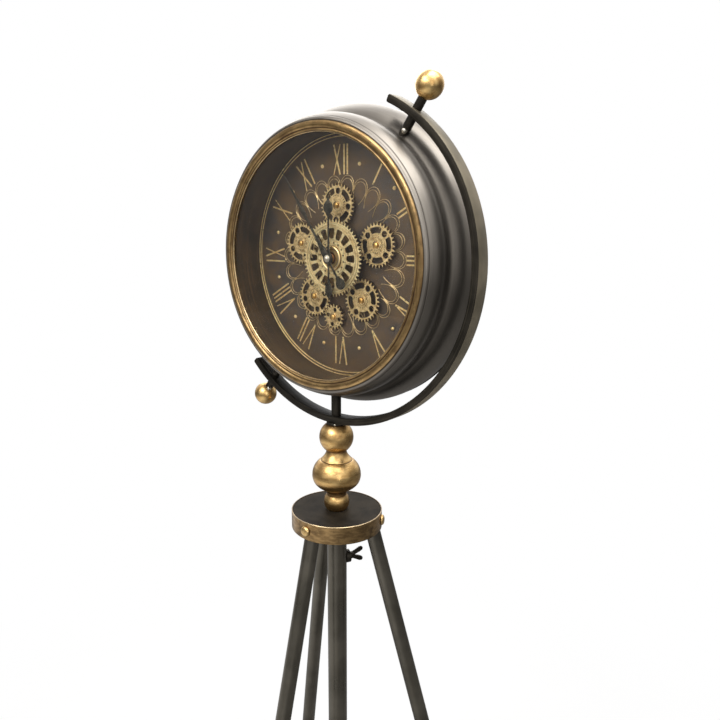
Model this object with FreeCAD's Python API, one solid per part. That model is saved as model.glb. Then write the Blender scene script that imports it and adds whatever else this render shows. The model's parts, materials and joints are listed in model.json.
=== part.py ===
import FreeCAD, Part
import math
import os

# Tripod floor clock with an open gear train behind glass.
# Lengths are in millimetres and angles in degrees. The floor is z = 0 and the dial faces -Y.
# Tripod pieces are drawn about the column's axis, with z from the floor.
# Head pieces are drawn about the dial's centre, with y as the depth behind the bezel's crest.

# Gaps and cuts
slip_gap = 0.05
seat_gap = 0.2
window_gap = 0.5
cut_overrun = 1.0

# Collar, where legs and column meet
collar_bottom = 900.0
collar_thickness = 29.0
collar_radius = 75.7
band_wall = 2.0
band_lip = 0.6
screw_head_radius = 8.7
screw_head_height = 5.0
screw_head_flat = 1.2
screw_shank_radius = 4.0
screw_shank_length = 5.0

# Legs and feet
leg_names = ("leg_front", "leg_right", "leg_left")
first_leg_angle = -90.0
leg_splay_angle = 14.3
leg_inset = 1.7
leg_radius = 12.5
leg_wall = 2.0
leg_socket_depth = 18.0
foot_wall = 2.0
foot_bore_depth = 20.0
foot_sole = 8.0

# Column tube and what is in it
tube_radius = 16.5
tube_wall = 2.0
tube_length = 650.0
tube_plug_length = 14.0
tube_plug_head = 5.0
bush_length = 40.0
bush_wall = 2.0
pole_wall = 2.0
pole_cap = 20.0
pole_reach = 500.0
stud_radius = 5.0
stud_length = 24.0
shoe_length = 30.0

# Clamp on the tube
clamp_drop = 62.0
clamp_angle = 64.0
boss_radius = 11.0
boss_height = 6.0
wing_shank_radius = 4.0
wing_hub_radius = 6.0
wing_hub_length = 9.0
wing_reach = 48.0
wing_span = 26.0
wing_thickness = 4.0

# Turned finial between collar and arm
lower_ball_radius = 21.3
lower_ball_height_share = 0.61
bulb_radius = 40.4
bulb_height = 77.2
upper_ball_radius = 28.2
upper_ball_height_share = 0.789
washer_radius = 16.0
washer_height = 4.2

# Arm, its rods and knobs
arm_gap = 15.0
arm_thickness = 11.2
arm_width = 24.6
arm_tip_round = 3.0
arm_start_angle = 25.0
arm_end_angle = 225.5
arm_drop = 6.0
arm_inset = 12.0
rod_angles = (35.1, 215.1)
rod_radius = 6.8
rod_entry = 6.0
post_radius = 8.0
knob_radius = 19.5
knob_stand_off = 34.3
knob_bore_depth = 9.0

# Case
drum_rear_radius = 233.0
drum_rise = 32.0
drum_front_depth = 2.0
step_inset = 2.3
movement_room = 35.7
drum_wall = 2.5
drum_cone_inset = 11.0
ledge_height = 8.3
cover_thickness = 4.0
cover_sheet = 1.5
cover_inset = 0.6
cover_round = 2.0

# Bezel, glass and liner
drum_lip = 1.0
bezel_width = 16.0
bezel_depth = 5.5
bezel_back_depth = 2.9
flange_thickness = 2.0
flange_clearance = 1.0
glass_cover = 7.0
glass_thickness = 3.0
liner_inset = 1.0
liner_wall = 1.5
dial_depth = 68.3
dial_thickness = 1.5

# Gear train
module = 2.0
addendum_share = 1.0
dedendum_share = 1.25
tooth_foot_share = 0.30
wheel_thickness = 4.0
train_stand_off = 8.8
front_wheel_stand_off = 13.5
backlash = 0.3
front_teeth = 58
driving_teeth = 48
satellite_teeth = 32
bottom_teeth = 19
satellite_names = ("wheel_top", "wheel_right", "wheel_left", "wheel_lower_right", "wheel_lower_left")
satellite_angles = (90.0, 15.1, 164.9, -51.8, -128.0)
window_angles = (-6.0, 49.6, 24.0, 57.9, 15.2)
bottom_angle = -37.0
bottom_window_angle = -14.0
windows = 4
arbor_radius = 4.25
arbor_stand_out = 3.5
round_window_radius = 4.5
round_window_place = 22.0
small_window_radius = 3.4
small_window_place = 12.0
slot_inner_radius = 18.5
slot_outer_radius = 27.0
slot_half_angle = 25.0
spokes = 16
opening_inner_radius = 31.0
opening_outer_radius = 46.5
opening_inner_width = 5.5
opening_outer_width = 10.5
hub_radius = 20.0
hub_height = 2.5
spacer_radius = 12.0
sleeve_radius = 6.5
sleeve_shoulder_radius = 10.0
sleeve_stand_out = 4.0

# Hands
hand_thickness = 1.2
hour_stand_off = 3.7
minute_stand_off = 2.7
hour_pipe_radius = 4.0
minute_arbor_radius = 2.0
hand_hub_radius = 9.0
minute_clearance = 18.0
minute_angle = 35.5
hour_length = 93.0
hour_disc_radius = 9.5
hour_disc_place = 77.0
stem_half_width = 1.6
hour_tail_length = 60.0
hour_tail_half_width = 6.0
hour_tail_share = 0.2
minute_tail_place = 46.0
cap_nut_radius = 5.5
cap_nut_height = 4.5
cap_nut_flat = 1.5
shaft_entry = 6.0

# Movement and gear motor behind the dial
movement_size = 62.0
motor_width = 62.0
motor_height = 50.0
box_stand_out = 3.0
cell_radius = 7.1
cell_length = 50.0
cell_offset = 17.0
motor_cell_offset = 13.0
knob_wheel_radius = 9.0
knob_wheel_thickness = 4.0
knob_wheel_offset = 8.0
switch_size = 8.0
switch_height = 3.0
switch_travel = 6.0
switch_offset = 12.0

# Few faces are enough where a small form repeats
hole_sides = 8
tail_sides = 10
ball_steps = 5
dome_steps = 2

# Bezel, as shares of its width from the inner edge and of its depth: a wide roll, a groove, a bead, a lip
bezel_face_shares = (
    (1.0, 0.33), (0.84, 0.03), (0.58, 0.0), (0.40, 0.33), (0.32, 0.40), (0.18, 0.17), (0.09, 0.60),
    (0.0, 0.86),
)

# Drum's side, as shares of its rise and of its depth to the step: a lip, a band, a cove, a band, the step
drum_side_shares = (
    (0.0, 0.0), (0.12, 0.03), (0.165, 0.08), (0.375, 0.27), (0.485, 0.46), (0.49, 0.60), (0.68, 0.70),
    (0.82, 0.84), (0.905, 0.97), (1.0, 1.0),
)

# Bulb, as shares of its radius and height: a neck, the belly, a hollow shoulder, a neck
bulb_shares = (
    (0.42, 0.0), (0.42, 0.085), (0.78, 0.21), (0.955, 0.33), (1.0, 0.45), (0.98, 0.54), (0.90, 0.65),
    (0.67, 0.75), (0.51, 0.84), (0.41, 0.95), (0.41, 1.0),
)

# Shares of the minute hand's length, and its half width as shares of its hub's radius
minute_shares = ((0.03, 0.75), (0.09, 0.75), (0.24, 0.22), (0.39, 0.22), (0.53, 0.88), (1.0, 0.04))


def sine(angle):
    return math.sin(math.radians(angle))


def cosine(angle):
    return math.cos(math.radians(angle))


def point(x, y, z):
    return FreeCAD.Vector(x, y, z)


def polar(radius, angle, depth=0.0):
    return point(radius * cosine(angle), depth, radius * sine(angle))


def filled(points):
    return Part.Face(Part.makePolygon(points + points[:1]))


def plate(points, thickness):
    return filled(points).extrude(point(0.0, thickness, 0.0))


def disc(radius, depth, thickness, x=0.0, z=0.0):
    return Part.makeCylinder(radius, thickness, point(x, depth, z), point(0.0, 1.0, 0.0))


def disc_bore(radius, depth, thickness, x=0.0, z=0.0):
    return disc(radius, depth - cut_overrun, thickness + 2.0 * cut_overrun, x, z)


def turned_about_dial(outline):
    face = filled([point(radius, depth, 0.0) for radius, depth in outline])
    return face.revolve(point(0.0, 0.0, 0.0), point(0.0, 1.0, 0.0), 360.0)


def turned_about_column(outline):
    face = filled([point(radius, 0.0, height) for radius, height in outline])
    return face.revolve(point(0.0, 0.0, 0.0), point(0.0, 0.0, 1.0), 360.0)


def scaled_outline(shares, place, size):
    return [(place[0] + size[0] * across, place[1] + size[1] * along) for across, along in shares]


def round_run(radius, middle, bottom, top, steps):
    first = math.asin((bottom - middle) / radius)
    last = math.asin((top - middle) / radius)
    turns = [first + (last - first) * k / steps for k in range(steps + 1)]
    return [(radius * math.cos(turn), middle + radius * math.sin(turn)) for turn in turns]


def domed(radius, flat, height, base, direction):
    crown = height - flat
    ball = (radius ** 2 + crown ** 2) / (2.0 * crown)
    side = round_run(ball, height - ball, flat, height, dome_steps)[:-1]
    dome = turned_about_column([(0.0, 0.0), (radius, 0.0)] + side + [(0.0, height)])
    dome.Placement = FreeCAD.Placement(base, FreeCAD.Rotation(point(0.0, 0.0, 1.0), direction))
    return dome


def upright(radius, bottom, height):
    return Part.makeCylinder(radius, height, point(0.0, 0.0, bottom))


def upright_bore(radius, bottom, height):
    return upright(radius, bottom - cut_overrun, height + 2.0 * cut_overrun)


# Radii round the dial, from the drum outwards and inwards
arm_inner_radius = drum_rear_radius + arm_gap
arm_outer_radius = arm_inner_radius + arm_thickness
knob_reach = arm_outer_radius + knob_stand_off
drum_front_radius = drum_rear_radius - drum_rise
bezel_outer_radius = drum_front_radius - drum_lip
bezel_inner_radius = bezel_outer_radius - bezel_width
glass_radius = bezel_inner_radius + glass_cover
flange_inner_radius = glass_radius + flange_clearance
liner_inner_radius = glass_radius - liner_inset
minute_length = liner_inner_radius - minute_clearance

# Depths from the dial forwards and backwards
drum_step_depth = dial_depth - step_inset
drum_rear_depth = dial_depth + movement_room
arm_depth = drum_step_depth - arm_inset
train_depth = dial_depth - train_stand_off
front_wheel_depth = train_depth - front_wheel_stand_off
sleeve_front_depth = front_wheel_depth - sleeve_stand_out
hour_depth = sleeve_front_depth - hour_stand_off
minute_depth = hour_depth - minute_stand_off
shaft_end_depth = dial_depth + dial_thickness + shaft_entry
box_rear_depth = drum_rear_depth + box_stand_out

# Radii of what slides in the column, and heights that follow from the stack on the collar
tube_inner_radius = tube_radius - tube_wall
pole_radius = tube_inner_radius - bush_wall
lower_ball_height = 2.0 * lower_ball_radius * lower_ball_height_share
upper_ball_height = 2.0 * upper_ball_radius * upper_ball_height_share
collar_top = collar_bottom + collar_thickness
finial_bottom = collar_top + seat_gap
bulb_bottom = finial_bottom + lower_ball_height
bulb_top = bulb_bottom + bulb_height
washer_bottom = bulb_top + upper_ball_height
washer_top = washer_bottom + washer_height
spot_face_depth = arm_outer_radius - math.sqrt(arm_outer_radius ** 2 - washer_radius ** 2)
dial_height = washer_top + arm_outer_radius - spot_face_depth + arm_drop

# The middle of the three feet's box lies a quarter of their circle in front of the column
leg_angles = {name: first_leg_angle + 360.0 * k / len(leg_names) for k, name in enumerate(leg_names)}
leg_circle_radius = collar_radius - band_wall - leg_radius - leg_inset
foot_circle_radius = leg_circle_radius + collar_bottom * math.tan(math.radians(leg_splay_angle))
column_y = foot_circle_radius / 4.0
column_place = point(0.0, column_y, 0.0)
dial_place = point(0.0, column_y - arm_depth, dial_height)


# Collar: a disc with a brass band, leg sockets and dome screws
def leg_placement(azimuth):
    across = sine(leg_splay_angle)
    downward = point(across * cosine(azimuth), across * sine(azimuth), -cosine(leg_splay_angle))
    start = point(leg_circle_radius * cosine(azimuth), leg_circle_radius * sine(azimuth), collar_bottom)
    return FreeCAD.Placement(start, FreeCAD.Rotation(point(0.0, 0.0, 1.0), downward))


def along_leg(shape, azimuth):
    shape.Placement = leg_placement(azimuth)
    return shape


def outward(radius, length, start, azimuth, height):
    direction = point(cosine(azimuth), sine(azimuth), 0.0)
    return Part.makeCylinder(radius, length, direction * start + point(0.0, 0.0, height), direction)


core_radius = collar_radius - band_wall
screw_height = collar_bottom + collar_thickness / 2.0


def collar_disc():
    core = upright(core_radius - slip_gap, collar_bottom, collar_thickness)
    core = core.cut(upright_bore(tube_radius + slip_gap, collar_bottom, collar_thickness))
    for azimuth in leg_angles.values():
        socket = upright(leg_radius + slip_gap, -leg_socket_depth, leg_socket_depth + leg_radius)
        core = core.cut(along_leg(socket, azimuth))
        start = collar_radius - screw_shank_length
        core = core.cut(outward(screw_shank_radius + slip_gap, collar_radius, start, azimuth, screw_height))
    return core


def collar_band():
    height = collar_thickness + band_lip
    band = upright(collar_radius, collar_bottom, height)
    holes = [upright_bore(core_radius, collar_bottom, height)]
    for azimuth in leg_angles.values():
        hole_radius = screw_shank_radius + slip_gap
        holes.append(outward(hole_radius, collar_radius, leg_radius, azimuth, screw_height))
    return band.cut(holes)


def collar_screw(azimuth):
    shank_start = collar_radius - screw_shank_length
    shank = outward(screw_shank_radius, screw_shank_length, shank_start, azimuth, screw_height)
    direction = point(cosine(azimuth), sine(azimuth), 0.0)
    head_start = direction * collar_radius + point(0.0, 0.0, screw_height)
    head = domed(screw_head_radius, screw_head_flat, screw_head_height, head_start, direction)
    return shank.fuse(head).removeSplitter()


# Legs and their rubber feet, drawn down the leg's own axis from the collar's underside
leg_axis_length = collar_bottom / cosine(leg_splay_angle)
leg_end = leg_axis_length - foot_sole


def leg(azimuth):
    length = leg_end + leg_socket_depth
    tube = upright(leg_radius, -leg_socket_depth, length)
    tube = tube.cut(upright_bore(leg_radius - leg_wall, -leg_socket_depth, length))
    return along_leg(tube, azimuth)


def foot_cap(azimuth):
    radius = leg_radius + foot_wall
    cap = upright(radius, leg_end - foot_bore_depth, foot_bore_depth + foot_sole + radius)
    bore_start = leg_end - foot_bore_depth - cut_overrun
    cap = cap.cut(upright(leg_radius + slip_gap, bore_start, foot_bore_depth + cut_overrun))
    cap = along_leg(cap, azimuth)
    reach = 2.0 * foot_circle_radius
    below_floor = Part.makeBox(2.0 * reach, 2.0 * reach, reach, point(-reach, -reach, -reach))
    return cap.cut(below_floor)


# Column: a tube through the collar, bushed for the pole, with a plug at its lower end
tube_bottom = collar_top - tube_length
clamp_height = collar_bottom - clamp_drop


def column_tube():
    tube = upright(tube_radius, tube_bottom, tube_length)
    hole_length = tube_radius + cut_overrun
    screw_hole = outward(wing_shank_radius + slip_gap, hole_length, 0.0, clamp_angle, clamp_height)
    return tube.cut([upright_bore(tube_inner_radius, tube_bottom, tube_length), screw_hole])


def column_bush():
    bush = upright(tube_inner_radius - slip_gap, collar_top - bush_length, bush_length)
    return bush.cut(upright_bore(pole_radius + slip_gap, collar_top - bush_length, bush_length))


def column_plug():
    spigot = upright(tube_inner_radius - slip_gap, tube_bottom, tube_plug_length - tube_plug_head)
    head = upright(tube_radius, tube_bottom - tube_plug_head, tube_plug_head)
    return head.fuse(spigot).removeSplitter()


def clamp_boss():
    direction = point(cosine(clamp_angle), sine(clamp_angle), 0.0)
    base = direction * (tube_radius - tube_wall) + point(0.0, 0.0, clamp_height)
    boss = Part.makeCylinder(boss_radius, boss_height + tube_wall, base, direction)
    saddle_length = 2.0 * (boss_radius + cut_overrun)
    saddle = upright(tube_radius, clamp_height - saddle_length / 2.0, saddle_length)
    screw_hole = outward(wing_shank_radius + slip_gap, 2.0 * tube_radius, 0.0, clamp_angle, clamp_height)
    return boss.cut([saddle, screw_hole])


def wing_screw():
    start = pole_radius + seat_gap
    hub_start = tube_radius + boss_height + seat_gap
    hub_end = hub_start + wing_hub_length
    shank = outward(wing_shank_radius, hub_start - start, start, clamp_angle, clamp_height)
    hub = outward(wing_hub_radius, wing_hub_length, hub_start, clamp_angle, clamp_height)
    half_span = wing_span / 2.0
    wing_outline = [
        (hub_start + wing_thickness, 0.0),
        (hub_end, wing_hub_radius),
        (wing_reach - wing_thickness, half_span),
        (wing_reach, half_span - wing_thickness),
        (hub_end, 0.0),
        (wing_reach, wing_thickness - half_span),
        (wing_reach - wing_thickness, -half_span),
        (hub_end, -wing_hub_radius),
    ]
    wings = filled([point(x, -wing_thickness / 2.0, z) for x, z in wing_outline])
    wings = wings.extrude(point(0.0, wing_thickness, 0.0))
    wings.rotate(point(0.0, 0.0, 0.0), point(0.0, 0.0, 1.0), clamp_angle)
    wings.translate(point(0.0, 0.0, clamp_height))
    return shank.fuse([hub, wings]).removeSplitter()


# Pole: slides in the column and ends in a stud that the head turns on
pole_bottom = collar_top - pole_reach


def inner_pole():
    pole = upright(pole_radius, pole_bottom, washer_bottom - pole_bottom)
    stud = upright(stud_radius, washer_bottom, washer_height + stud_length)
    hollow = washer_bottom - pole_cap - pole_bottom + cut_overrun
    bore = upright(pole_radius - pole_wall, pole_bottom - cut_overrun, hollow)
    return pole.fuse(stud).removeSplitter().cut(bore)


def pole_shoe():
    shoe = upright(tube_inner_radius - slip_gap, pole_bottom, shoe_length)
    return shoe.cut(upright_bore(pole_radius + slip_gap / 2.0, pole_bottom, shoe_length))


# Finial turnings, threaded over the pole
finial_bore = pole_radius + slip_gap


def ball_zone(radius, bottom, height):
    top = bottom + height
    side = round_run(radius, bottom + height / 2.0, bottom, top, ball_steps)
    return turned_about_column([(finial_bore, bottom)] + side + [(finial_bore, top)])


def finial_lower_ball():
    return ball_zone(lower_ball_radius, finial_bottom, lower_ball_height)


def finial_bulb():
    side = scaled_outline(bulb_shares, (0.0, bulb_bottom), (bulb_radius, bulb_height))
    return turned_about_column([(finial_bore, bulb_bottom)] + side + [(finial_bore, bulb_top)])


def finial_upper_ball():
    return ball_zone(upper_ball_radius, bulb_top, upper_ball_height)


def finial_washer():
    washer = upright(washer_radius - slip_gap, washer_bottom, washer_height)
    return washer.cut(upright_bore(stud_radius + slip_gap, washer_bottom, washer_height))


# Arm: a bent flat bar round the case, drilled for two rods and the post
def arm_ray(angle, distance):
    return point(distance * sine(angle), arm_depth, distance * cosine(angle) - arm_drop)


def rod(radius, angle, start, end):
    direction = point(sine(angle), 0.0, cosine(angle))
    return Part.makeCylinder(radius, end - start, arm_ray(angle, start), direction)


def reach_to_case(angle, radius):
    return arm_drop * cosine(angle) + math.sqrt(radius ** 2 - (arm_drop * sine(angle)) ** 2)


def arm():
    middle_angle = (arm_start_angle + arm_end_angle) / 2.0
    edges = []
    for radius in (arm_outer_radius, arm_inner_radius):
        spots = [arm_ray(angle, radius) for angle in (arm_start_angle, middle_angle, arm_end_angle)]
        edges.append(Part.Arc(*spots).toShape())
    for angle in (arm_start_angle, arm_end_angle):
        edges.append(Part.makeLine(arm_ray(angle, arm_inner_radius), arm_ray(angle, arm_outer_radius)))
    bar = Part.Face(Part.Wire(Part.sortEdges(edges)[0])).extrude(point(0.0, arm_width, 0.0))
    bar.translate(point(0.0, -arm_width / 2.0, 0.0))
    corners = [edge for edge in bar.Edges if edge.BoundBox.YLength > arm_width / 2.0]
    bar = bar.makeFillet(arm_tip_round, corners)
    inside = arm_inner_radius - cut_overrun
    outside = arm_outer_radius + cut_overrun
    cuts = [rod(rod_radius + slip_gap, angle, inside, outside) for angle in rod_angles]
    cuts.append(rod(post_radius + slip_gap, 180.0, inside, outside))
    cuts.append(rod(washer_radius, 180.0, arm_outer_radius - spot_face_depth, outside))
    return bar.cut(cuts)


def drum_side():
    size = (drum_rise, drum_step_depth - drum_front_depth)
    return scaled_outline(drum_side_shares, (drum_front_radius, drum_front_depth), size)


def case_radius_at(depth):
    stations = drum_side()
    for (r0, d0), (r1, d1) in zip(stations, stations[1:]):
        if d0 <= depth <= d1:
            return r0 + (r1 - r0) * (depth - d0) / (d1 - d0)
    return drum_rear_radius


def pivot_rod(angle):
    start = reach_to_case(angle, case_radius_at(arm_depth)) - rod_entry
    return rod(rod_radius, angle, start, knob_reach - knob_radius + knob_bore_depth)


def knob_ball(angle):
    ball = Part.makeSphere(knob_radius, arm_ray(angle, knob_reach), point(sine(angle), 0.0, cosine(angle)))
    end = knob_reach - knob_radius + knob_bore_depth
    return ball.cut(rod(rod_radius + slip_gap, angle, arm_outer_radius, end))


def support_post():
    start = arm_outer_radius - spot_face_depth
    end = reach_to_case(180.0, case_radius_at(arm_depth)) - rod_entry
    post = rod(post_radius, 180.0, end, start)
    bore = rod(stud_radius + slip_gap, 180.0, start - stud_length - seat_gap, start + cut_overrun)
    return post.cut(bore)


# Case: a spun drum with two convex bands, a front flange and a ledge for the dial
drum_inner_radius = drum_rear_radius - 2.0 * drum_wall


def case_drum():
    ledge_radius = drum_rear_radius - drum_cone_inset
    flange_back_depth = bezel_back_depth + flange_thickness
    bezel_bore = bezel_outer_radius + slip_gap
    inside = [
        (drum_rear_radius, drum_rear_depth),
        (drum_inner_radius, drum_rear_depth),
        (drum_inner_radius, dial_depth),
        (ledge_radius, dial_depth),
        (ledge_radius, dial_depth - ledge_height),
        (bezel_outer_radius, flange_back_depth),
        (flange_inner_radius, flange_back_depth),
        (flange_inner_radius, bezel_back_depth),
        (bezel_bore, bezel_back_depth),
        (bezel_bore, drum_front_depth),
    ]
    drum = turned_about_dial(drum_side() + inside)
    for angle in rod_angles:
        drum = drum.cut(rod(rod_radius + slip_gap, angle, bezel_outer_radius, arm_inner_radius))
    return drum.cut(rod(post_radius + slip_gap, 180.0, bezel_outer_radius, arm_inner_radius))


def bezel():
    face = scaled_outline(bezel_face_shares, (bezel_inner_radius, 0.0), (bezel_width, bezel_depth))
    rabbet = glass_radius + slip_gap
    back = [
        (bezel_inner_radius, bezel_depth),
        (rabbet, bezel_depth),
        (rabbet, bezel_back_depth),
        (bezel_outer_radius, bezel_back_depth),
    ]
    return turned_about_dial(face + back)


def glass():
    return disc(glass_radius, bezel_depth, glass_thickness)


def inner_liner():
    front = bezel_depth + glass_thickness
    length = dial_depth - front
    liner = disc(liner_inner_radius + liner_wall, front, length)
    return liner.cut(disc_bore(liner_inner_radius, front, length))


def dial_plate():
    dial = disc(drum_inner_radius - seat_gap, dial_depth, dial_thickness)
    x, z = satellite_centre("wheel_lower_left")
    sleeve_hole = disc_bore(sleeve_radius + slip_gap, dial_depth, dial_thickness)
    shaft_hole = disc_bore(arbor_radius + slip_gap, dial_depth, dial_thickness, x, z)
    return dial.cut([sleeve_hole, shaft_hole])


# Gear train: pointed teeth, cut from plate
def pitch_radius(teeth):
    return module * teeth / 2.0


def toothed_disc(teeth, phase, depth):
    pitch = 360.0 / teeth
    tip = pitch_radius(teeth) + addendum_share * module
    root = pitch_radius(teeth) - dedendum_share * module
    points = []
    for k in range(teeth):
        middle = phase + k * pitch
        points.append(polar(root, middle - tooth_foot_share * pitch, depth))
        points.append(polar(tip, middle, depth))
        points.append(polar(root, middle + tooth_foot_share * pitch, depth))
    return plate(points, wheel_thickness)


def meshing_phase(angle, driver_teeth, driver_phase, teeth):
    driver_share = (angle - driver_phase) * driver_teeth / 360.0
    return angle + 180.0 - (0.5 - driver_share) * 360.0 / teeth


place_angle = dict(zip(satellite_names, satellite_angles))
window_angle = dict(zip(satellite_names, window_angles))


def satellite_centre(name):
    distance = pitch_radius(driving_teeth) + pitch_radius(satellite_teeth) + backlash
    return distance * cosine(place_angle[name]), distance * sine(place_angle[name])


def satellite_phase(name):
    return meshing_phase(place_angle[name], driving_teeth, 0.0, satellite_teeth)


def bottom_centre():
    x, z = satellite_centre("wheel_lower_left")
    distance = pitch_radius(satellite_teeth) + pitch_radius(bottom_teeth) + backlash
    return x + distance * cosine(bottom_angle), z + distance * sine(bottom_angle)


def through(points):
    return plate([p + point(0.0, -cut_overrun, 0.0) for p in points], wheel_thickness + 2.0 * cut_overrun)


def round_window(radius, place, angle, depth):
    centre = polar(place, angle, depth)
    return through([centre + polar(radius, 360.0 * (k + 0.5) / hole_sides) for k in range(hole_sides)])


def slot_window(angle, depth):
    outer = [polar(slot_outer_radius, angle + slot_half_angle * s, depth) for s in (-1.0, 0.0, 1.0)]
    inner = [polar(slot_inner_radius, angle + slot_half_angle * s, depth) for s in (1.0, 0.0, -1.0)]
    return through(outer + inner)


def spoke_opening(angle, depth):
    inner_half = math.degrees(math.asin(opening_inner_width / 2.0 / opening_inner_radius))
    outer_half = math.degrees(math.asin(opening_outer_width / 2.0 / opening_outer_radius))
    return through([
        polar(opening_outer_radius, angle - outer_half, depth),
        polar(opening_outer_radius, angle + outer_half, depth),
        polar(opening_inner_radius, angle + inner_half, depth),
        polar(opening_inner_radius, angle - inner_half, depth),
    ])


def wheel_bore(radius):
    return disc_bore(radius, train_depth, wheel_thickness)


def satellite(name):
    wheel = toothed_disc(satellite_teeth, satellite_phase(name), train_depth)
    cuts = [wheel_bore(arbor_radius + slip_gap)]
    for k in range(windows):
        angle = window_angle[name] + 360.0 * k / windows
        cuts.append(round_window(round_window_radius, round_window_place, angle, train_depth))
        cuts.append(slot_window(angle + 180.0 / windows, train_depth))
    wheel = wheel.cut(cuts)
    x, z = satellite_centre(name)
    wheel.translate(point(x, 0.0, z))
    return wheel


def wheel_bottom():
    phase = meshing_phase(bottom_angle, satellite_teeth, satellite_phase("wheel_lower_left"), bottom_teeth)
    wheel = toothed_disc(bottom_teeth, phase, train_depth)
    cuts = [wheel_bore(arbor_radius + slip_gap)]
    for k in range(windows):
        angle = bottom_window_angle + 360.0 * k / windows
        cuts.append(round_window(small_window_radius, small_window_place, angle, train_depth))
    wheel = wheel.cut(cuts)
    x, z = bottom_centre()
    wheel.translate(point(x, 0.0, z))
    return wheel


def centre_wheel():
    wheel = toothed_disc(front_teeth, 0.0, front_wheel_depth)
    wheel = wheel.cut([spoke_opening(360.0 * k / spokes, front_wheel_depth) for k in range(spokes)])
    wheel = wheel.fuse(disc(hub_radius, front_wheel_depth - hub_height, hub_height)).removeSplitter()
    length = hub_height + wheel_thickness
    return wheel.cut(disc_bore(sleeve_radius + slip_gap, front_wheel_depth - hub_height, length))


def driving_wheel():
    spacer_depth = front_wheel_depth + wheel_thickness
    wheel = toothed_disc(driving_teeth, 0.0, train_depth)
    wheel = wheel.fuse(disc(spacer_radius, spacer_depth, train_depth - spacer_depth)).removeSplitter()
    length = train_depth + wheel_thickness - spacer_depth
    return wheel.cut(disc_bore(sleeve_radius + slip_gap, spacer_depth, length))


def arbor(x, z):
    front = train_depth - arbor_stand_out
    return disc(arbor_radius, front, dial_depth - front, x, z)


def gear_arbors():
    places = [satellite_centre(name) for name in satellite_names if name != "wheel_lower_left"]
    return Part.makeCompound([arbor(x, z) for x, z in places + [bottom_centre()]])


def drive_shaft():
    x, z = satellite_centre("wheel_lower_left")
    front = train_depth - arbor_stand_out
    return disc(arbor_radius, front, shaft_end_depth - front, x, z)


def centre_sleeve():
    shoulder_depth = train_depth + wheel_thickness + seat_gap
    length = dial_depth + dial_thickness - sleeve_front_depth
    sleeve = disc(sleeve_radius, sleeve_front_depth, length)
    shoulder = disc(sleeve_shoulder_radius, shoulder_depth, dial_depth - shoulder_depth)
    bore = disc_bore(hour_pipe_radius + slip_gap, sleeve_front_depth, length)
    return sleeve.fuse(shoulder).removeSplitter().cut(bore)


# Hands: thin blades on coaxial shafts from the movement
def hour_hand():
    top = hour_disc_place - hour_disc_radius + stem_half_width
    tail_half = hour_tail_length * hour_tail_share
    tail_middle = hour_tail_length - tail_half
    stem = plate([point(stem_half_width, hour_depth, -tail_middle),
                  point(stem_half_width, hour_depth, top),
                  point(-stem_half_width, hour_depth, top),
                  point(-stem_half_width, hour_depth, -tail_middle)], hand_thickness)
    ring = disc(hour_disc_radius, hour_depth, hand_thickness, 0.0, hour_disc_place)
    tip_base = hour_disc_place + hour_disc_radius - stem_half_width
    tip = plate([point(hour_disc_radius / 2.0, hour_depth, tip_base),
                 point(0.0, hour_depth, hour_length),
                 point(-hour_disc_radius / 2.0, hour_depth, tip_base)], hand_thickness)
    turns = [360.0 * k / tail_sides for k in range(tail_sides)]
    leaf = [(hour_tail_half_width * cosine(turn), tail_half * sine(turn) - tail_middle) for turn in turns]
    tail = plate([point(x, hour_depth, z) for x, z in leaf], hand_thickness)
    hub = disc(hand_hub_radius, hour_depth, hand_thickness)
    pipe_length = shaft_end_depth - hour_depth
    pipe = disc(hour_pipe_radius, hour_depth, pipe_length)
    hand = hub.fuse([stem, ring, tip, tail, pipe]).removeSplitter()
    return hand.cut(disc_bore(minute_arbor_radius + slip_gap, hour_depth, pipe_length))


def minute_hand():
    right = [point(hand_hub_radius * w, minute_depth, minute_length * s) for s, w in minute_shares]
    left = [point(-p.x, p.y, p.z) for p in reversed(right)]
    blade = plate(right + left, hand_thickness)
    tail = plate([point(stem_half_width, minute_depth, 0.0),
                  point(-stem_half_width, minute_depth, 0.0),
                  point(-stem_half_width, minute_depth, -minute_tail_place),
                  point(stem_half_width, minute_depth, -minute_tail_place)], hand_thickness)
    weight = disc(hand_hub_radius, minute_depth, hand_thickness, 0.0, -minute_tail_place)
    hub = disc(hand_hub_radius, minute_depth, hand_thickness)
    shaft = disc(minute_arbor_radius, minute_depth, shaft_end_depth - minute_depth)
    hand = hub.fuse([blade, tail, weight, shaft]).removeSplitter()
    hand.rotate(point(0.0, 0.0, 0.0), point(0.0, 1.0, 0.0), -minute_angle)
    return hand


def hand_nut():
    forwards = point(0.0, -1.0, 0.0)
    return domed(cap_nut_radius, cap_nut_flat, cap_nut_height, point(0.0, minute_depth, 0.0), forwards)


# Movement and gear motor, let through the back cover so that their cells can be changed
box_front = dial_depth + dial_thickness
box_length = box_rear_depth - box_front
cell_bay_depth = 2.0 * cell_radius + seat_gap
shaft_bore_length = shaft_entry + cut_overrun + seat_gap


def block(width, height, front, length, x, z):
    return Part.makeBox(width, length, height, point(x - width / 2.0, front, z - height / 2.0))


def cell_bay(x, z):
    width = cell_length + 2.0 * seat_gap
    height = 2.0 * (cell_radius + seat_gap)
    return block(width, height, box_rear_depth - cell_bay_depth, cell_bay_depth + cut_overrun, x, z)


def cell(x, z):
    start = point(x - cell_length / 2.0, box_rear_depth - cell_bay_depth + cell_radius + seat_gap / 2.0, z)
    return Part.makeCylinder(cell_radius, cell_length, start, point(1.0, 0.0, 0.0))


def motor_centre():
    return satellite_centre("wheel_lower_left")


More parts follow.
